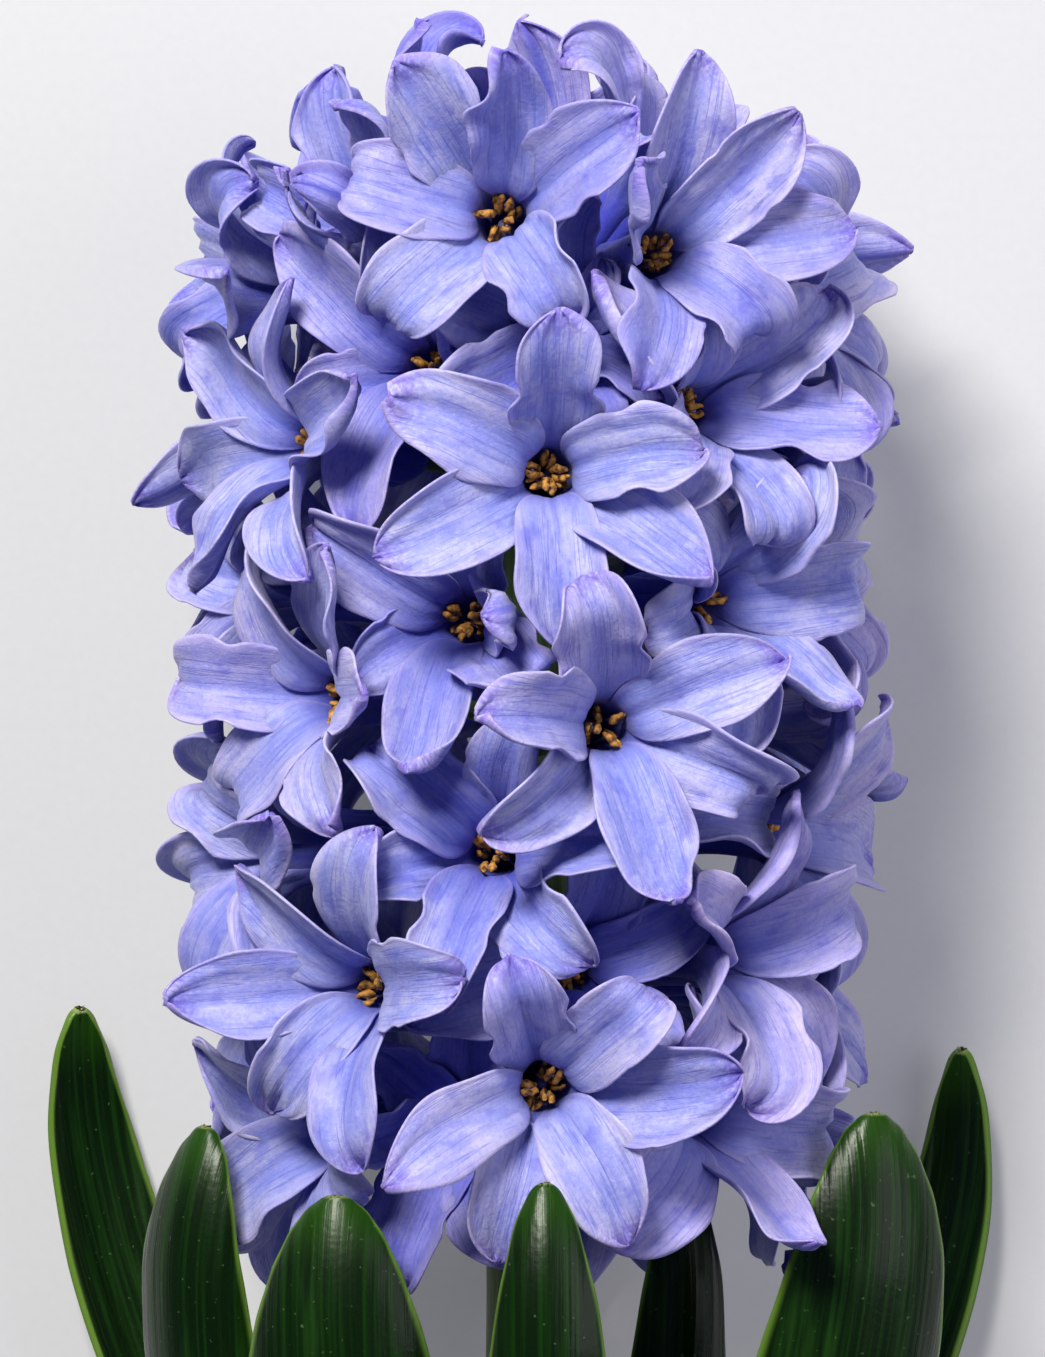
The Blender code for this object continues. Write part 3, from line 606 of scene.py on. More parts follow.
def free_petal(petal, roll, inner, along, across, rng):
    """A petal's smooth middle surface and its half width in each row. Its rows are cupped round its
    centreline, and overlap their neighbours near the throat but not further out. The three inner
    petals stand a step inside the outer three until they part. Shallow nicks widen and narrow it."""
    reach = np.where(along < 0, along * TUBE_LENGTH / petal.length, along)
    centre, side, normal, radius = petal_centreline(petal, reach, roll)
    step = INNER_STEP * (1 - smooth(0.08, 0.62, along)) if inner else np.full_like(along, OUTER_STEP)
    crowd = OVERLAP + (ROOM - OVERLAP) * smooth(0.3, 0.56, along)
    nick = 1 + 0.035 * np.sin(FULL_TURN * (rng.uniform(1.2, 2.4) * along + rng.random()))
    half = (np.minimum(petal.width / 2 * petal_outline(along), crowd * radius) * nick)[:, None]
    cup = (petal.cup * (0.75 + 0.25 * smooth(0, 0.4, along)))[:, None]
    return cupped(centre + normal * step[:, None], side, normal, half, cup, across), half


def tube_wall(petal, spans, along, across):
    """A sixth of the tube: a wall that swells over the ovary, narrows above it and opens to the
    throat, with a low ridge up its middle. spans are half the angles to the neighbouring petals,
    which it fills and passes by a thirtieth."""
    free_rise = petal.length * math.cos(math.radians(BASE_LEAN))
    height = np.minimum(along, 0) * TUBE_LENGTH + np.maximum(along, 0) * free_rise
    low = np.sin(np.pi / 2 * np.clip((height + TUBE_LENGTH) / (OVARY_Z + TUBE_LENGTH), 0, 1))
    rest = np.clip((height - OVARY_Z) / -OVARY_Z, 0, 1.6)
    swell = (OVARY_RADIUS - TUBE_BASE_RADIUS) * low
    wall = TUBE_BASE_RADIUS + swell - TUBE_WAIST * np.sin(np.pi * np.clip(rest, 0, 1))
    wall = wall + (THROAT_RADIUS - OVARY_RADIUS) * rest**2.2
    angle = np.radians(petal.angle + np.where(across < 0, *spans) * 1.03 * across)[None]
    ridge = TUBE_RIDGE * np.cos(np.pi * across)[None] * smooth(-1, -0.8, along)[:, None]
    wide = wall[:, None] + ridge
    return np.stack(np.broadcast_arrays(np.sin(angle) * wide, np.cos(angle) * wide, height[:, None]), 2)


def petal_relief(along, across, rng):
    """How far a petal stands off its smooth surface: a channel down the middle, soft folds that
    wander along it, margins that ripple and roll by chance, and a tip pinched to one side."""
    channel = -CHANNEL_DEPTH * np.exp(-np.abs(across) / CHANNEL_WIDTH)[None]
    channel = channel * (1 - 0.5 * smooth(0.6, 1, along))[:, None]
    fold_count, fold_phase = rng.uniform(1.1, 2.0), rng.uniform(0, FULL_TURN)
    sway = rng.uniform(-0.25, 0.25) * along[:, None]
    fold_depth = rng.uniform(0.00014, 0.00034)
    folds = fold_depth * np.cos(FULL_TURN * fold_count * (across[None] + sway) + fold_phase)
    folds = folds * (0.7 + 0.5 * smooth(0.5, 1, along))[:, None]
    relief = (channel + folds) * smooth(-0.1, 0.25, along)[:, None]
    for edge in (-1, 1):
        ripple = rng.choice(RIPPLES)
        count, phase = rng.uniform(1.2, 2.6), rng.uniform(0, FULL_TURN)
        roll = rng.choice(ROLLS_MM) * MM
        near_edge = np.clip(across * edge, 0, 1)[None]
        rippled = ripple * np.sin(FULL_TURN * count * along + phase) * smooth(0.2, 0.55, along)
        rolled = roll * smooth(0.12, 0.5, along)
        relief = relief + near_edge**2.4 * rippled[:, None] + near_edge**3 * rolled[:, None]
    pinch = rng.choice(PINCHES) * PINCH_DEPTH
    return relief + pinch * (1 - np.abs(across))[None] * smooth(0.84, 1.0, along)[:, None]


def tepal(petal, roll, inner, spans, rng):
    """One tepal from the tube's base to the petal's tip, in the bell's frame: a sixth of the tube's
    wall that turns into the free petal over the throat, with the petal's relief."""
    petal_rows = 1 - (1 - np.linspace(0, 1, PETAL_ROWS)) ** 1.25
    along = np.concatenate([np.linspace(-1, -0.06, TUBE_ROWS), petal_rows])
    across = crowded(PETAL_COLUMNS, PETAL_CROWDING)
    free, half = free_petal(petal, roll, inner, along, across, rng)
    share = smooth(-0.16, 0.16, along)[:, None, None]
    middle = tube_wall(petal, spans, along, across) * (1 - share) + free * share
    middle = middle + grid_normals(middle) * petal_relief(along, across, rng)[:, :, None]
    towards_rim = (1 - np.abs(across) ** 3)[None] * (1 - 0.5 * smooth(0.85, 1.0, along))[:, None]
    thick = PETAL_RIM + (PETAL_THICK - PETAL_RIM) * towards_rim
    length = np.where(along < 0, along * TUBE_LENGTH, along * petal.length)
    return skinned(middle, thick, along, across, half, length, rng.uniform(0, 100))


def pressed(points):
    """Points under PRESS_FROM, pressed up off the surface: at a depth d under it a point keeps the
    depth PRESS_GIVE * (1 - exp(-d / PRESS_GIVE))."""
    depth = np.maximum(PRESS_FROM - points[:, 2], 0)
    kept = PRESS_GIVE * (1 - np.exp(-depth / PRESS_GIVE))
    return points + np.stack([0 * depth, 0 * depth, depth - kept], 1)


def blob(rings, radius, length, sides, bend=0.0, rough=0.0, rng=None):
    """A long rounded body along +Z: its radius is the profile of a stretched ball, its middle is bent
    towards +X and its surface is as grainy as rough says."""
    t = np.cos(np.linspace(np.pi, 0, rings))
    theta = np.arange(sides) * 2 * np.pi / sides
    grain = np.ones((rings, sides))
    if rng:
        grain += rough * np.array([[rng.uniform(-1, 1) for _ in theta] for _ in t])
    wide = radius * np.maximum(1 - t**2, 0.0)[:, None] ** 0.42 * grain
    x = wide * np.cos(theta)[None] + (bend * (1 - t**2))[:, None]
    y = wide * np.sin(theta)[None]
    z = np.repeat((t * length / 2)[:, None], sides, axis=1)
    return np.stack([x, y, z], 2).reshape(-1, 3), ring_faces(rings, sides)


def tube_along(path, radius, around):
    """A round tube along a path of points, its rings turned only as the path turns."""
    path = np.asarray(path, float)
    tangent = np.gradient(path, axis=0)
    tangent /= np.linalg.norm(tangent, axis=1, keepdims=True)
    start = np.array([1.0, 0.0, 0.0]) if abs(tangent[0, 0]) < 0.9 else np.array([0.0, 1.0, 0.0])
    sides = [np.cross(tangent[0], start)]
    for t in tangent[1:]:
        side = sides[-1] - t * np.dot(sides[-1], t)
        sides.append(side)
    side = np.array(sides)
    side /= np.linalg.norm(side, axis=1, keepdims=True)
    other = np.cross(tangent, side)
    theta = np.arange(around) * 2 * np.pi / around
    radius = np.broadcast_to(np.asarray(radius, float), (len(path),))
    out = side[:, None] * (np.cos(theta)[None, :, None] * radius[:, None, None])
    up = other[:, None] * (np.sin(theta)[None, :, None] * radius[:, None, None])
    ring = path[:, None] + out + up
    return ring.reshape(-1, 3), ring_faces(len(path), around)


def heart_parts(petals, rng):
    """Six anthers on short filaments round a pistil, in the bell's frame. An anther is two lobes side
    by side, split apart a little. The anthers crowd the mouth of the throat, each by its own petal,
    and every one leans its own way."""
    parts = []
    for k, petal in enumerate(petals):
        angle = math.radians(petal.angle + rng.uniform(-16, 16))
        out = Vector((math.sin(angle), math.cos(angle), 0))
        foot = out * rng.uniform(0.6, 1.5) * MM
        foot.z = ((-0.3 if k % 2 else -1.9) + rng.uniform(-0.6, 0.7)) * MM
        length = rng.uniform(1.9, 2.8) * MM
        lean = out * rng.uniform(0.5, 1.1)
        lean += Vector((rng.uniform(-0.5, 0.5), rng.uniform(-0.5, 0.5), rng.uniform(0.6, 1.6)))
        lean.normalize()
        centre = foot + lean * (length * 0.3)
        turn = lean.to_track_quat("Z", "Y").to_matrix() @ Matrix.Rotation(rng.uniform(0, 6.28), 3, "Z")
        for lobe in (-1, 1):
            points, faces = blob(7, 0.42 * MM, length, 6, bend=0.2 * lobe * MM, rough=0.42, rng=rng)
            split = 0.24 + rng.uniform(0.05, 0.22) * (points[:, 2] / length + 0.5)
            points = points + np.stack([split * lobe * MM, 0 * split, 0 * split], 1)
            parts.append((points @ np.array(turn).T + np.array(centre), faces, {}, 0))
        wall = out * 2.2 * MM + Vector((0, 0, -6 * MM))
        path = [wall.lerp(centre, t) - out * (0.5 * MM * math.sin(math.pi * t)) for t in np.linspace(0, 1, 6)]
        points, faces = tube_along([tuple(p) for p in path], 0.17 * MM, 6)
        parts.append((points, faces, {}, 1))
    points, faces = blob(8, 1.2 * MM, 4.4 * MM, 8)
    parts.append((points + np.array([0, 0, -8.0 * MM]), faces, {}, 1))
    path = [(0.1 * MM * math.sin(t * 4), 0, (-6.5 + 3.4 * t) * MM) for t in np.linspace(0, 1, 6)]
    points, faces = tube_along(path, np.array([0.5, 0.42, 0.38, 0.38, 0.45, 0.55]) * MM, 8)
    parts.append((points, faces, {}, 1))
    return parts


# ---------------------------------------------------------------- leaves


def leaf_outline(along):
    """Full width for most of the length, then a pointed arch."""
    shoulder = 0.74
    share = np.clip((along - shoulder) / (1 - shoulder), 0, 1)
    return np.sqrt(np.clip(1 - share**2.0, 0, 1)) * (1 - 0.12 * share) + 1e-4


def leaf_spine(place, along):
    """A leaf's centreline with its side and inward-facing directions, and the span from root to tip.
    It rises from the root beside the stalk, arches out and reaches the tip in a cubic curve, and its
    face turns away from the stalk by place.turn on the way."""
    angle = math.radians(place.root_angle)
    outward = np.array([math.sin(angle), 0.0, math.cos(angle)])
    turned = np.radians(place.root_angle + place.turn * np.minimum(along / 0.8, 1))
    inward = -np.stack([np.sin(turned), np.zeros_like(turned), np.cos(turned)], 1)
    start = np.array(stalk_axis(FOOT_Y + 0.0005)) + outward * place.root_distance / 1000
    tip = np.array(place.tip) / 1000
    head = np.array([0.0, 1.0, 0.0])
    span = tip - start
    reach = np.linalg.norm(span)
    first = start + head * 0.36 * reach + outward * place.rise / 1000 + span * [0.1, 0, 0.1]
    second = tip - head * 0.34 * reach - span * [0.14, 0, 0.10] + outward * place.rise / 1000
    t = along[:, None]
    slope = 3 * (1 - t) ** 2 * (first - start) + 6 * (1 - t) * t * (second - first)
    slope = slope + 3 * t**2 * (tip - second)
    slope /= np.linalg.norm(slope, axis=1)[:, None]
    facing = np.cross(np.cross(slope, inward), slope)
    facing /= np.linalg.norm(facing, axis=1)[:, None]
    return arched(t, start, first, second, tip), np.cross(slope, facing), facing, reach


def leaf_shell(place, rng):
    """A strap leaf: a smooth curve from root to tip, channelled towards the stalk, fleshy in the
    middle and round-edged, with a keel, fine ribs, swaying margins and a boat-shaped end that closes
    in a blunt callus."""
    along = 1 - (1 - np.linspace(0, 1, LEAF_ROWS)) ** 1.5
    across = crowded(LEAF_COLUMNS, LEAF_CROWDING)
    centre, side, facing, reach = leaf_spine(place, along)
    grow = smooth(0, 0.72, along)
    width = LEAF_BASE_WIDTH + (place.width / 1000 - LEAF_BASE_WIDTH) * grow
    half = (width / 2 * leaf_outline(along))[:, None]
    cup = (0.42 + 0.4 * grow - 0.2 * np.clip((along - 0.72) / 0.28, 0, 1))[:, None]
    hood = 0.0035 * np.clip((along - 0.86) / 0.14, 0, 1) ** 2
    middle = cupped(centre + facing * hood[:, None], side, facing, half, cup, across)

    keel = -0.00022 * np.exp(-((across / 0.1) ** 2))[None] * (1 - 0.4 * along)[:, None]
    ribs = 0.00005 * np.cos(across[None] * half / MM * FULL_TURN / 1.9)
    waves = 1.4 * along[:, None] + 0.15 * np.sign(across)[None] + rng.random()
    swaying = smooth(0.2, 0.6, along)[:, None]
    sway = 0.0005 * np.sin(FULL_TURN * waves) * np.abs(across[None]) ** 2 * swaying
    sway = sway * (1 - smooth(0.85, 1, along))[:, None]
    middle = middle + grid_normals(middle) * (keel + ribs + sway)[:, :, None]
    towards_rim = (1 - np.abs(across) ** 2.4)[None] * (1 - 0.45 * smooth(0.5, 1.0, along))[:, None]
    thick = LEAF_RIM + (LEAF_THICKNESS - LEAF_RIM) * towards_rim
    return skinned(middle, thick, along, across, half, along * reach, rng.uniform(0, 100))


# ---------------------------------------------------------------- stalk and bulb plate


def stalk_part():
    """The stalk: a tapering tube along its sagging axis, with six shallow ribs, slow swellings and a
    rounded tip."""
    stations = np.linspace(FOOT_Y + 0.0004, STALK_TIP_Y, STALK_ROWS)
    theta = np.arange(STALK_SIDES) * 2 * np.pi / STALK_SIDES
    axis = np.array([tuple(stalk_axis(y)) for y in stations])
    radius = np.array([stalk_radius(y) for y in stations]) * 0.985
    swell = 1 + 0.012 * np.sin(stations * 260)[:, None] + 0.02 * np.cos(6 * theta + 1)[None]
    rounding = 0.003
    near_tip = (stations - (STALK_TIP_Y - rounding)).clip(0) / rounding
    wide = radius[:, None] * swell * np.sqrt(np.clip(1 - near_tip**2, 0.02, 1))[:, None]
    points = axis[:, None] + np.stack([wide * np.sin(theta), 0 * wide, wide * np.cos(theta)], 2)
    length = stations[:, None] / MM + 0 * wide
    grain = np.stack([theta * STALK_RADIUS / MM + 0 * wide, length, 0 * length], 2).reshape(-1, 3)
    return points.reshape(-1, 3), ring_faces(STALK_ROWS, STALK_SIDES), {"grain": grain}, 0


def pedicel_part(number, own_frame):
    """A bell's pedicel: a thin tube that leaves the stalk in a small flare, bends out in a cubic curve
    and thickens where it meets the bell's base."""
    base = own_frame @ Vector((0, 0, -TUBE_LENGTH - WALL / 2 - PIECE_GAP + 0.0005))
    root_y = min(base.y - 0.002, STALK_TIP_Y - 0.004)
    root = stalk_axis(root_y)
    outward = Vector((base.x, 0, base.z - root.z)).normalized()
    root = root + outward * (0.45 * stalk_radius(root_y))
    span = (base - root).length
    bend = root + outward * 0.45 * span
    arrive = base + own_frame.to_3x3() @ Vector((0, 0, -1)) * 0.35 * span
    t = np.linspace(0, 1, PEDICEL_ROWS)
    path = arched(t[:, None], *[np.array(point) for point in (root, bend, arrive, base)])
    wide = PEDICEL_RADIUS * (0.92 + 0.35 * np.exp(-((t - 0.1) / 0.12) ** 2) + 0.12 * t**3)
    points, faces = tube_along(path, wide, PEDICEL_SIDES)
    length = np.repeat(t[:, None] * span / MM + 7 * number, PEDICEL_SIDES, axis=1)
    spread = np.arange(PEDICEL_SIDES) * 0.45 + 0 * length
    grain = np.stack([spread, length, length * 0 + number], 2).reshape(-1, 3)
    return points, faces, {"grain": grain}, 0


def root_stubs(rng):
    """Short cut roots on the plate's back, in two loose rings: straight stubs with a slight taper."""
    parts = []
    for ring, count in ((10.6, 26), (7.4, 17)):
        for k in range(count):
            around = 2 * math.pi * (k + rng.uniform(-0.3, 0.3)) / count
            away = (ring + rng.uniform(-0.9, 0.9)) * MM
            out = Vector((math.sin(around), 0, math.cos(around)))
            start = Vector((0, FOOT_Y - PIECE_GAP - PLATE_THICKNESS + 0.0006, FOOT_AXIS_Z)) + out * away
            end = start + Vector((0, -rng.uniform(1.0, 2.1) * MM, 0)) + out * rng.uniform(0.1, 0.7) * MM
            path = [tuple(start.lerp(end, t)) for t in (0, 0.35, 0.7, 0.94, 1.0)]
            wide = rng.uniform(0.55, 0.8) * MM * np.array([1.15, 1.0, 0.95, 0.9, 0.72])
            points, faces = tube_along(path, wide, 9)
            grain = np.tile([rng.uniform(0, 90), 8.0, 0], (len(points), 1))
            parts.append((points, faces, {"grain": grain}, 0))
    return parts


def plate_part(rng):
    """The slice of bulb plate: a round profile carried round the plate's axis, with the stumps of the
    bulb's scales as low rings on the side the leaves leave and a rough cut face on the other."""
    back = -PLATE_THICKNESS
    profile = [(0.0, 0.0), (0.35, 0.0)]
    for k in range(5):
        ring = 0.42 + 0.12 * k
        profile += [(ring, -0.00005), (ring + 0.03, -0.00035)]
        profile += [(ring + 0.07, -0.0003), (ring + 0.10, -0.00005)]
    profile += [(0.985, -0.0006), (1.0, -0.0013), (0.995, -0.0028)]
    profile += [(0.97, back + 0.0008), (0.93, back + 0.0002)]
    profile += [(r, back) for r in (0.85, 0.7, 0.5, 0.3, 0.12, 0.0)]
    radius = np.array([r for r, _ in profile]) * (PLATE_RADIUS - 0.0002)
    depth = np.array([d for _, d in profile])
    theta = np.arange(PLATE_SIDES) * 2 * np.pi / PLATE_SIDES
    lumps = sum(rng.uniform(0.3, 1) / k * np.sin(k * theta + rng.uniform(0, 6.28)) for k in range(2, 14))
    outer = smooth(0.5, 1, radius / PLATE_RADIUS)[:, None]
    wide = radius[:, None] * (1 - 0.012 * (1 + np.tanh(lumps))[None] * outer)
    dents = 0.00014 * np.sin(3 * theta[None] + radius[:, None] * 900)
    dents = dents * smooth(0.2, 0.6, radius / PLATE_RADIUS)[:, None]
    deep = depth[:, None] + np.where(depth[:, None] < -0.003, np.abs(dents), -np.abs(dents))
    centre = np.array([0.0, FOOT_Y - PIECE_GAP, FOOT_AXIS_Z])
    points = centre + np.stack([wide * np.sin(theta)[None], deep, wide * np.cos(theta)[None]], 2)
    length = np.repeat(radius[:, None] / MM, PLATE_SIDES, axis=1)
    grain = np.stack([np.repeat(theta[None] * 10, len(radius), axis=0), length, deep / MM], 2)
    faces = ring_faces(len(radius), PLATE_SIDES, capped=False)
    return points.reshape(-1, 3), faces, {"grain": grain.reshape(-1, 3)}, 0


# ---------------------------------------------------------------- materials

# What each attribute's three numbers are. grain is in millimetres, across the piece and along it.
SURFACE_NUMBERS = {
    "grain": ("spread", "length", "seed"),
    "part": ("edge", "along", "inside"),
    # In shade the first number is the younger bells' blue together with painted shade towards the head's
    # left, the second a blush, and the third painted shade deep in the head near the stalk's axis.
    "shade": ("youth_and_painted_shade", "blush", "deep"),
}

# A noise on the grain, its length squeezed by stretch, or on the object when stretch is None.
Noise = namedtuple("Noise", "stretch scale detail rough", defaults=(0.5,))

# An amount that runs from least to most while the value it reads runs from start to end.
Curve = namedtuple("Curve", "reads start end most least shape", defaults=(1.0, 0.0, "SMOOTHSTEP"))


def feed(tree, node, inputs):
    """Gives each of a node's sockets its value or the socket that feeds it."""
    for key, value in dict(inputs).items():
        if isinstance(value, bpy.types.NodeSocket):
            tree.links.new(value, node.inputs[key])
        else:
            node.inputs[key].default_value = value


def add(tree, kind, inputs=(), **settings):
    """A node with its settings, its sockets fed from inputs."""
    node = tree.nodes.new(kind)
    for name, value in settings.items():
        setattr(node, name, value)
    feed(tree, node, inputs)
    return node


def amount_of(tree, values, factors):
    """The product of its factors: each is a value's name or a curve over one."""
    product = None
    for factor in factors:
        if isinstance(factor, Curve):
            limits = {1: factor.start, 2: factor.end, 3: factor.least, 4: factor.most}
            limits[0] = values[factor.reads]
            value = add(tree, "ShaderNodeMapRange", limits, interpolation_type=factor.shape).outputs[0]
        else:
            value = values[factor]
        if product is not None:
            value = add(tree, "ShaderNodeMath", {0: product, 1: value}, operation="MULTIPLY").outputs[0]
        product = value
    return product


def finished(name, ground, layers, body, reads=(), noises=(), amounts=(), relief=(), bump=(0.5, 0.0002)):
    """A material from tables. reads are the attributes it needs, noises its patterns, and amounts the
    products that several layers share. Each layer is a tint and its factors, laid over the ground
    and the layers before it. body is what the shader's sockets get. relief gives each value's weight
    in the height of the bump, and bump its strength and its depth in metres."""
    made = bpy.data.materials.new(name)
    made.use_nodes = True
    tree = made.node_tree
    values = {}
    for key in reads:
        values[key] = add(tree, "ShaderNodeAttribute", attribute_name=key).outputs["Vector"]
        split = add(tree, "ShaderNodeSeparateXYZ", {0: values[key]})
        values.update(zip(SURFACE_NUMBERS[key], split.outputs))
    for key, noise in dict(noises).items():
        if noise.stretch is None:
            place = add(tree, "ShaderNodeTexCoord").outputs["Object"]
        else:
            squeeze = {0: values["grain"], 1: (1.0, noise.stretch, 1.0)}
            place = add(tree, "ShaderNodeVectorMath", squeeze, operation="MULTIPLY").outputs[0]
        drawn = {"Vector": place, "Scale": noise.scale, "Detail": noise.detail, "Roughness": noise.rough}
        values[key] = add(tree, "ShaderNodeTexNoise", drawn).outputs[0]
    for key, factors in dict(amounts).items():
        values[key] = amount_of(tree, values, factors)
    colour = srgb(ground)
    for tint, *factors in layers:
        laid = {0: amount_of(tree, values, factors), 6: colour, 7: srgb(tint)}
        colour = add(tree, "ShaderNodeMix", laid, data_type="RGBA").outputs[2]
    given = {"Base Color": colour}
    for key, value in body.items():
        given[key] = amount_of(tree, values, [value]) if isinstance(value, Curve) else value
    if relief:
        height = 0.0
        for key, weight in relief.items():
            summed = {0: values[key], 1: weight, 2: height}
            height = add(tree, "ShaderNodeMath", summed, operation="MULTIPLY_ADD").outputs[0]
        raised = {"Height": height, "Strength": bump[0], "Distance": bump[1]}
        given["Normal"] = add(tree, "ShaderNodeBump", raised).outputs[0]
    feed(tree, tree.nodes["Principled BSDF"], given)
    return made


def waxy_petal():
    """Hyacinth petal: thick, water-filled and waxy. It is bluest along its middle and near the throat
    and goes to pale lavender at its rims, with fine dark veins, soft smudges, a violet tip and a dark
    band down the back. Painted shade darkens it into the throat and down the tube, gives it a deeper blue
    where the head shades it, and deepens the younger bells' blue towards the head's left. Veins lie about
    0.5 mm apart, streaks 1 mm, smudges 3 by 7 mm and bruised spots 2 by 4 mm; mottling and cells are
    under half a millimetre."""
    return finished(
        "waxy_petal",
        reads=("grain", "part", "shade"),
        noises={
            "veins": Noise(0.035, 1.15, 2.0, 0.6),
            "streaks": Noise(0.09, 1.6, 4.0, 0.6),
            "smudges": Noise(0.42, 0.34, 3.0, 0.6),
            "bruises": Noise(0.6, 0.42, 2.0, 0.6),
            "mottle": Noise(0.8, 2.4, 4.0, 0.6),
            "cells": Noise(1.0, 8.0, 2.0, 0.6),
        },
        amounts={
            "fine_veins": (
                Curve("veins", 0.472, 0.5),
                Curve("veins", 0.528, 0.5),
                Curve("along", 0.02, 0.25, 0.42),
            ),
            "outside": (Curve("inside", 1.0, 0.0, 1.0, 0.2, "LINEAR"),),
        },
        ground="#A9AAD4",
        layers=(
            ("#828ACF", Curve("smudges", 0.38, 0.64)),
            ("#BEABD8", Curve("blush", 0.0, 1.0, 0.6, shape="LINEAR")),
            ("#7F8AD8", Curve("edge", 0.55, 0.0, 0.4)),
            ("#CCCCE4", Curve("streaks", 0.48, 0.28, 0.34)),
            ("#6C76CC", Curve("streaks", 0.50, 0.74, 0.3)),
            ("#6C70C4", Curve("mottle", 0.50, 0.72, 0.36)),
            ("#CCCAE4", Curve("mottle", 0.48, 0.30, 0.2)),
            ("#8D9CD6", Curve("along", 0.5, 0.12, 0.75), "smudges"),
            ("#6062C2", Curve("bruises", 0.55, 0.72, 0.5)),
            ("#454CAA", "fine_veins"),
            # Painted shade: the petals darken towards the throat, where the bell's hollow shades them.
            ("#545CAA", Curve("along", 0.22, -0.02, 0.6)),
            ("#4C52B6", Curve("edge", 0.24, 0.0, 0.75), "outside"),
            ("#6E4CB8", Curve("along", 0.78, 1.0), Curve("mottle", 0.3, 0.6, 0.75)),
            ("#CBBCE2", Curve("edge", 0.72, 1.0, 0.6), "smudges"),
            ("#4A50AA", Curve("along", 0.05, -0.3, 0.9), "outside"),
            # Painted shade: the tube darkens towards its base, the shade of its hollow, laid on both of its
            # faces.
            ("#5A5C9C", Curve("along", -0.02, -0.4, 0.55)),
            # The younger bells' real deeper blue at the tip, with painted shade towards the head's left.
            ("#4A4CC4", Curve("youth_and_painted_shade", 0.0, 1.0, 0.6, shape="LINEAR")),
            # Painted shade: the deep blue of petals lying within the head, near the stalk.
            ("#3036B2", Curve("deep", 0.0, 1.0, 0.85, shape="LINEAR")),
        ),
        body={
            "Roughness": Curve("mottle", 0.3, 0.7, 0.56, 0.40, "LINEAR"),
            "IOR": 1.42,
            "Specular IOR Level": 0.42,
            "Subsurface Weight": 0.22,
            "Subsurface Radius": (0.45, 0.5, 1.0),
            "Subsurface Scale": 0.0012,
            "Sheen Weight": 0.12,
            "Sheen Roughness": 0.45,
        },
        relief={"mottle": 1.0, "cells": 0.3, "streaks": 0.5, "fine_veins": -0.6},
    )


def glossy_leaf():
    """Hyacinth leaf: a thick cuticle over dark green flesh. Fine parallel veins, lighter rims and a
    pale callus at the tip, with a smooth wet gloss broken by faint streaks of bloom. Veins lie 0.6 mm
    apart, bloom streaks are 10 mm long and pale flecks a third of a millimetre."""
    return finished(
        "glossy_leaf",
        reads=("grain", "part"),
        noises={
            "veins": Noise(0.012, 1.7, 4.0),
            "bloom": Noise(0.1, 0.5, 5.0),
            "flecks": Noise(1.0, 1.5, 2.0, 0.4),
        },
        ground="#071A03",
        layers=(
            ("#143409", Curve("veins", 0.44, 0.68, 0.7)),
            ("#1C420D", Curve("bloom", 0.5, 0.75, 0.5)),
            ("#27500C", Curve("along", 0.94, 1.0, 0.5)),
            ("#5C7E2E", Curve("edge", 0.90, 1.0, 0.9)),
            ("#4C6A3C", Curve("flecks", 0.70, 0.76, 0.55)),
            ("#C9CF9A", Curve("along", 0.22, 0.0, 0.85)),
            ("#A3AC70", Curve("along", 0.9965, 1.0, 0.6)),
        ),
        body={
            "Roughness": Curve("bloom", 0.3, 0.75, 0.38, 0.22, "LINEAR"),
            "IOR": 1.4,
            "Specular IOR Level": 0.28,
            "Subsurface Weight": 0.08,
            "Subsurface Radius": (0.3, 0.6, 0.1),
            "Subsurface Scale": 0.001,
        },
        relief={"veins": 1.0, "flecks": 0.25},
    )


def fleshy_stalk():
    """Hyacinth stalk: firm pale-green flesh with a thin bloom, faint streaks along it 0.8 mm apart, a
    violet flush towards the head's tip and a paler foot."""
    return finished(
        "fleshy_stalk",
        reads=("grain",),
        noises={"streaks": Noise(0.05, 1.2, 4.0)},
        ground="#456426",
        layers=(
            ("#67843A", Curve("streaks", 0.38, 0.66)),
            ("#6C6A8E", Curve("length", 60.0, 108.0, 0.4, shape="LINEAR")),
            ("#CFD3A2", Curve("length", -85.0, -113.0, 0.8, shape="LINEAR")),
        ),
        body={
            "Roughness": Curve("streaks", 0.3, 0.7, 0.55, 0.40, "LINEAR"),
            "Subsurface Weight": 0.1,
            "Subsurface Radius": (0.5, 0.8, 0.3),
            "Subsurface Scale": 0.001,
        },
        relief={"streaks": 1.0},
    )


def cut_bulb():
    """Bulb plate: pale, starchy flesh with fibres 1 mm apart and a dry, papery brown rim, cut with a
    knife. Its grain's length is the distance from the plate's middle."""
    return finished(
        "cut_bulb",
        reads=("grain",),
        noises={"fibres": Noise(None, 900.0, 5.0), "patches": Noise(None, 260.0, 4.0)},
        ground="#DDD3B2",
        layers=(
            ("#A98F62", Curve("patches", 0.35, 0.7)),
            ("#8A7048", Curve("fibres", 0.5, 0.7, 0.6)),
            ("#6B4F38", Curve("length", 12.6, 14.4, 0.9)),
        ),
        body={"Roughness": 0.88},
        relief={"fibres": 1.0},
        bump=(0.9, 0.0005),
    )


def pollen_anther():
    """Ripe anther: dry golden-brown pollen in grains of a quarter of a millimetre, without gloss."""
    return finished(
        "pollen_anther",
        noises={"grains": Noise(None, 4200.0, 3.0), "patches": Noise(None, 1400.0, 3.0)},
        ground="#4A280C",
        layers=(("#CE9440", Curve("patches", 0.36, 0.62, shape="LINEAR")),),
        body={"Roughness": 0.8},
        relief={"grains": 1.0},
        bump=(0.9, 0.00012),
    )


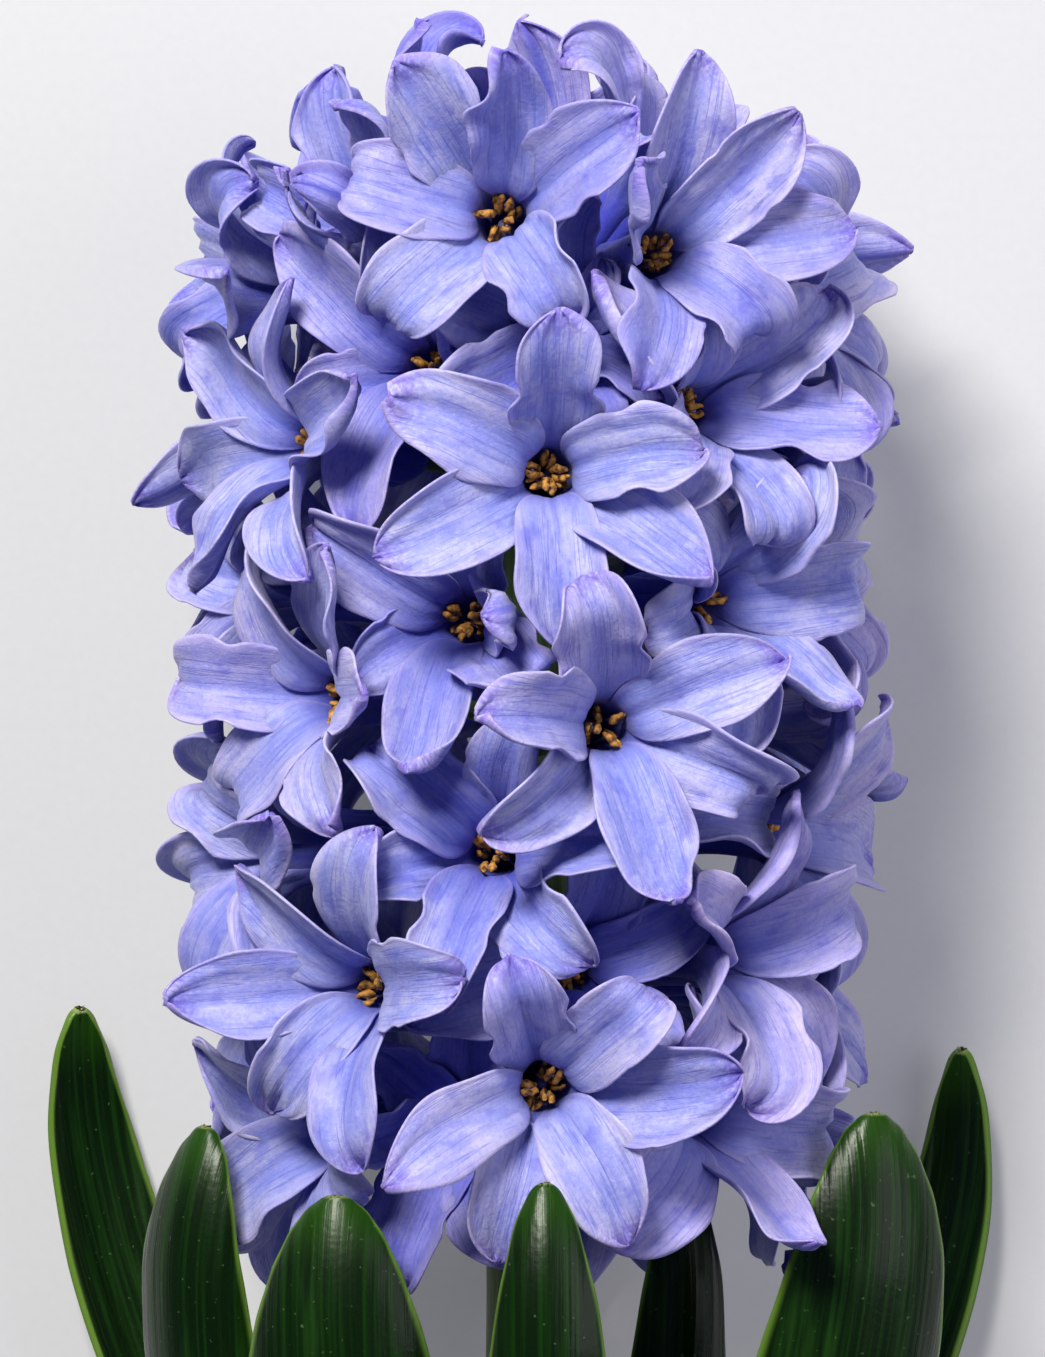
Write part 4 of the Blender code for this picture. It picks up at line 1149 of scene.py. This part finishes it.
def filament_flesh():
    """Filaments and pistil: thin moist flesh, blue-violet with paler spots."""
    return finished(
        "filament_flesh",
        noises={"spots": Noise(None, 600.0, 3.0)},
        ground="#5A4A86",
        layers=(("#8A93B8", "spots"),),
        body={"Roughness": 0.45},
    )


def studio_floor():
    """Matt pale card, lit evenly from behind so that it stays pale far from the lamps."""
    return finished(
        "studio_floor",
        noises={"tooth": Noise(None, 900.0, 3.0)},
        ground="#B0B2B6",
        layers=(("#B6B8BB", "tooth"),),
        body={"Roughness": 0.85, "Emission Color": (1.0, 1.0, 1.0, 1.0), "Emission Strength": 0.13},
    )


# ---------------------------------------------------------------- studio


def studio(shift):
    """Camera straight above the head, a soft key light from the head's upper left, a weak fill from
    the right and an even pale surround."""
    scene = bpy.context.scene
    lens = bpy.data.cameras.new("camera")
    camera = bpy.data.objects.new("camera", lens)
    scene.collection.objects.link(camera)
    distance, seen_length, sensor = 0.75, 0.1425, 24
    lens.sensor_fit = "VERTICAL"
    lens.sensor_height = sensor
    lens.lens = sensor * distance / seen_length
    lens.clip_start, lens.clip_end = 0.05, 20
    camera.location = shift + Vector((-0.0008, 0.059, 0.045 + distance))
    scene.camera = camera
    target = shift + Vector((0, 0.05, 0.03))
    for name, place, size, power, tint in (
        ("key", (-0.26, 0.56, 0.72), 0.30, 15.0, (1.0, 0.96, 0.88)),
        ("fill", (0.75, 0.05, 0.60), 0.8, 3.8, (1.0, 0.96, 1.0)),
    ):
        light = bpy.data.lights.new(name, "AREA")
        light.size, light.energy, light.color = size, power, tint
        lamp = bpy.data.objects.new(name, light)
        scene.collection.objects.link(lamp)
        lamp.location = target + Vector(place)
        lamp.rotation_euler = Vector(place).to_track_quat("Z", "Y").to_euler()
    world = bpy.data.worlds.new("surround")
    world.use_nodes = True
    surround = {"Color": (0.44, 0.50, 1.0, 1.0), "Strength": 0.16}
    feed(world.node_tree, world.node_tree.nodes["Background"], surround)
    scene.world = world
    scene.view_settings.view_transform = "Standard"


def floor():
    """A flat square card under the flower."""
    mesh = bpy.data.meshes.new("floor")
    size = 3.0
    corners = [(-size, -size, 0), (size, -size, 0), (size, size, 0), (-size, size, 0)]
    mesh.from_pydata(corners, [], [(0, 1, 2, 3)])
    mesh.materials.append(studio_floor())
    obj = bpy.data.objects.new("floor", mesh)
    bpy.context.scene.collection.objects.link(obj)


# ---------------------------------------------------------------- the flower


def petal_shade(points, tints, shift):
    """How young, how blushed and how deep in the head each point is: the first two are one tint for a petal,
    the first with painted shade towards the head's left, and the last is painted shade that fades from the
    stalk's axis outwards, and past the head's top."""
    beyond = np.maximum(points[:, 1] - shift.y - HEART_TOP_Y, 0)
    from_axis = np.hypot(points[:, 0] - shift.x, points[:, 2] - shift.z - HEAD_AXIS_Z)
    # Painted shade: darkest near the stalk's axis, where the head shades its own petals.
    deep = 1 - smooth(DARK_WITHIN, LIT_FROM, np.hypot(from_axis, beyond))
    return np.stack([*[np.full(len(points), min(max(tint, 0), 1)) for tint in tints], deep], 1)


def bell(number, petals, rolls, world, shift, petal_look, heart_looks):
    """A bell's petals as one piece and its stamens and pistil as another. Bells are younger and bluer
    towards the head's tip, with painted shade of the same blue towards the head's left, and blush more
    towards the tip and the right."""
    place = BELLS[number]
    aside = math.sin(math.radians(place.around))
    # Younger bells near the head's tip are really bluer; the extra blue towards the head's left (-aside) is
    # painted shade.
    youth_and_painted_shade = float(smooth(88, 118, place.height) * (0.2 + 0.6 * smooth(0.3, 0.9, -aside)))
    rng = random.Random(5000 + number)
    angles = [petal.angle for petal in petals]
    blush = rng.uniform(-0.2, 0.4) + 0.3 * aside + 0.2 * float(smooth(70, 100, place.height))
    parts = []
    for k, petal in enumerate(petals):
        following = angles[(k + 1) % PETAL_COUNT]
        spans = ((angles[k] - angles[k - 1]) % 360 / 2, (following - angles[k]) % 360 / 2)
        points, faces, numbers = tepal(petal, rolls[number, k], k % 2, spans, rng)
        points = pressed(placed(points, world))
        tints = (youth_and_painted_shade + rng.uniform(-0.1, 0.3), blush + rng.uniform(-0.2, 0.3))
        numbers["shade"] = petal_shade(points, tints, shift)
        parts.append((points, faces, numbers, 0))
    node = f"bell_{number + 1:02d}"
    new_mesh(f"petals_{number + 1:02d}", parts, [petal_look], stands_for=node)
    hearts = moved(heart_parts(petals, rng), world)
    new_mesh(f"stamens_{number + 1:02d}", hearts, heart_looks)


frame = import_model()

low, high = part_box("bulb_plate")
plate_centre = Vector((0, FOOT_Y - PIECE_GAP - PLATE_THICKNESS / 2, FOOT_AXIS_Z))
shift = (low + high) / 2 - plate_centre
part_world = Matrix.Translation(shift)

petal_look, leaf_look, stalk_look = waxy_petal(), glossy_leaf(), fleshy_stalk()
heart_looks = [pollen_anther(), filament_flesh()]
frames = [bell_frame(place) for place in BELLS]
worlds = [part_world @ own_frame for own_frame in frames]
bells = []
for number, world in enumerate(worlds):
    vertices = frame["nodes"][f"bell_{number + 1:02d}"].data.vertices
    corners = np.empty(len(vertices) * 3)
    vertices.foreach_get("co", corners)
    corners = placed(corners.reshape(-1, 3), world.inverted())
    bells.append(settled_petals(BELLS[number], number, corners))
rolls = curled_tips(bells, worlds)
for number, world in enumerate(worlds):
    bell(number, bells[number], rolls, world, shift, petal_look, heart_looks)

for number, (name, place) in enumerate(LEAVES.items()):
    parts = moved([(*leaf_shell(place, random.Random(7000 + number)), 0)], part_world)
    new_mesh(f"{name}_blade", parts, [leaf_look], stands_for=name)

parts = moved([stalk_part(), *itertools.starmap(pedicel_part, enumerate(frames))], part_world)
new_mesh("stalk_and_pedicels", parts, [stalk_look], stands_for="flower_stalk")
rng = random.Random(42)
parts = moved([plate_part(rng), *root_stubs(rng)], part_world)
new_mesh("bulb_slice", parts, [cut_bulb()], stands_for="bulb_plate")
floor()
studio(shift)
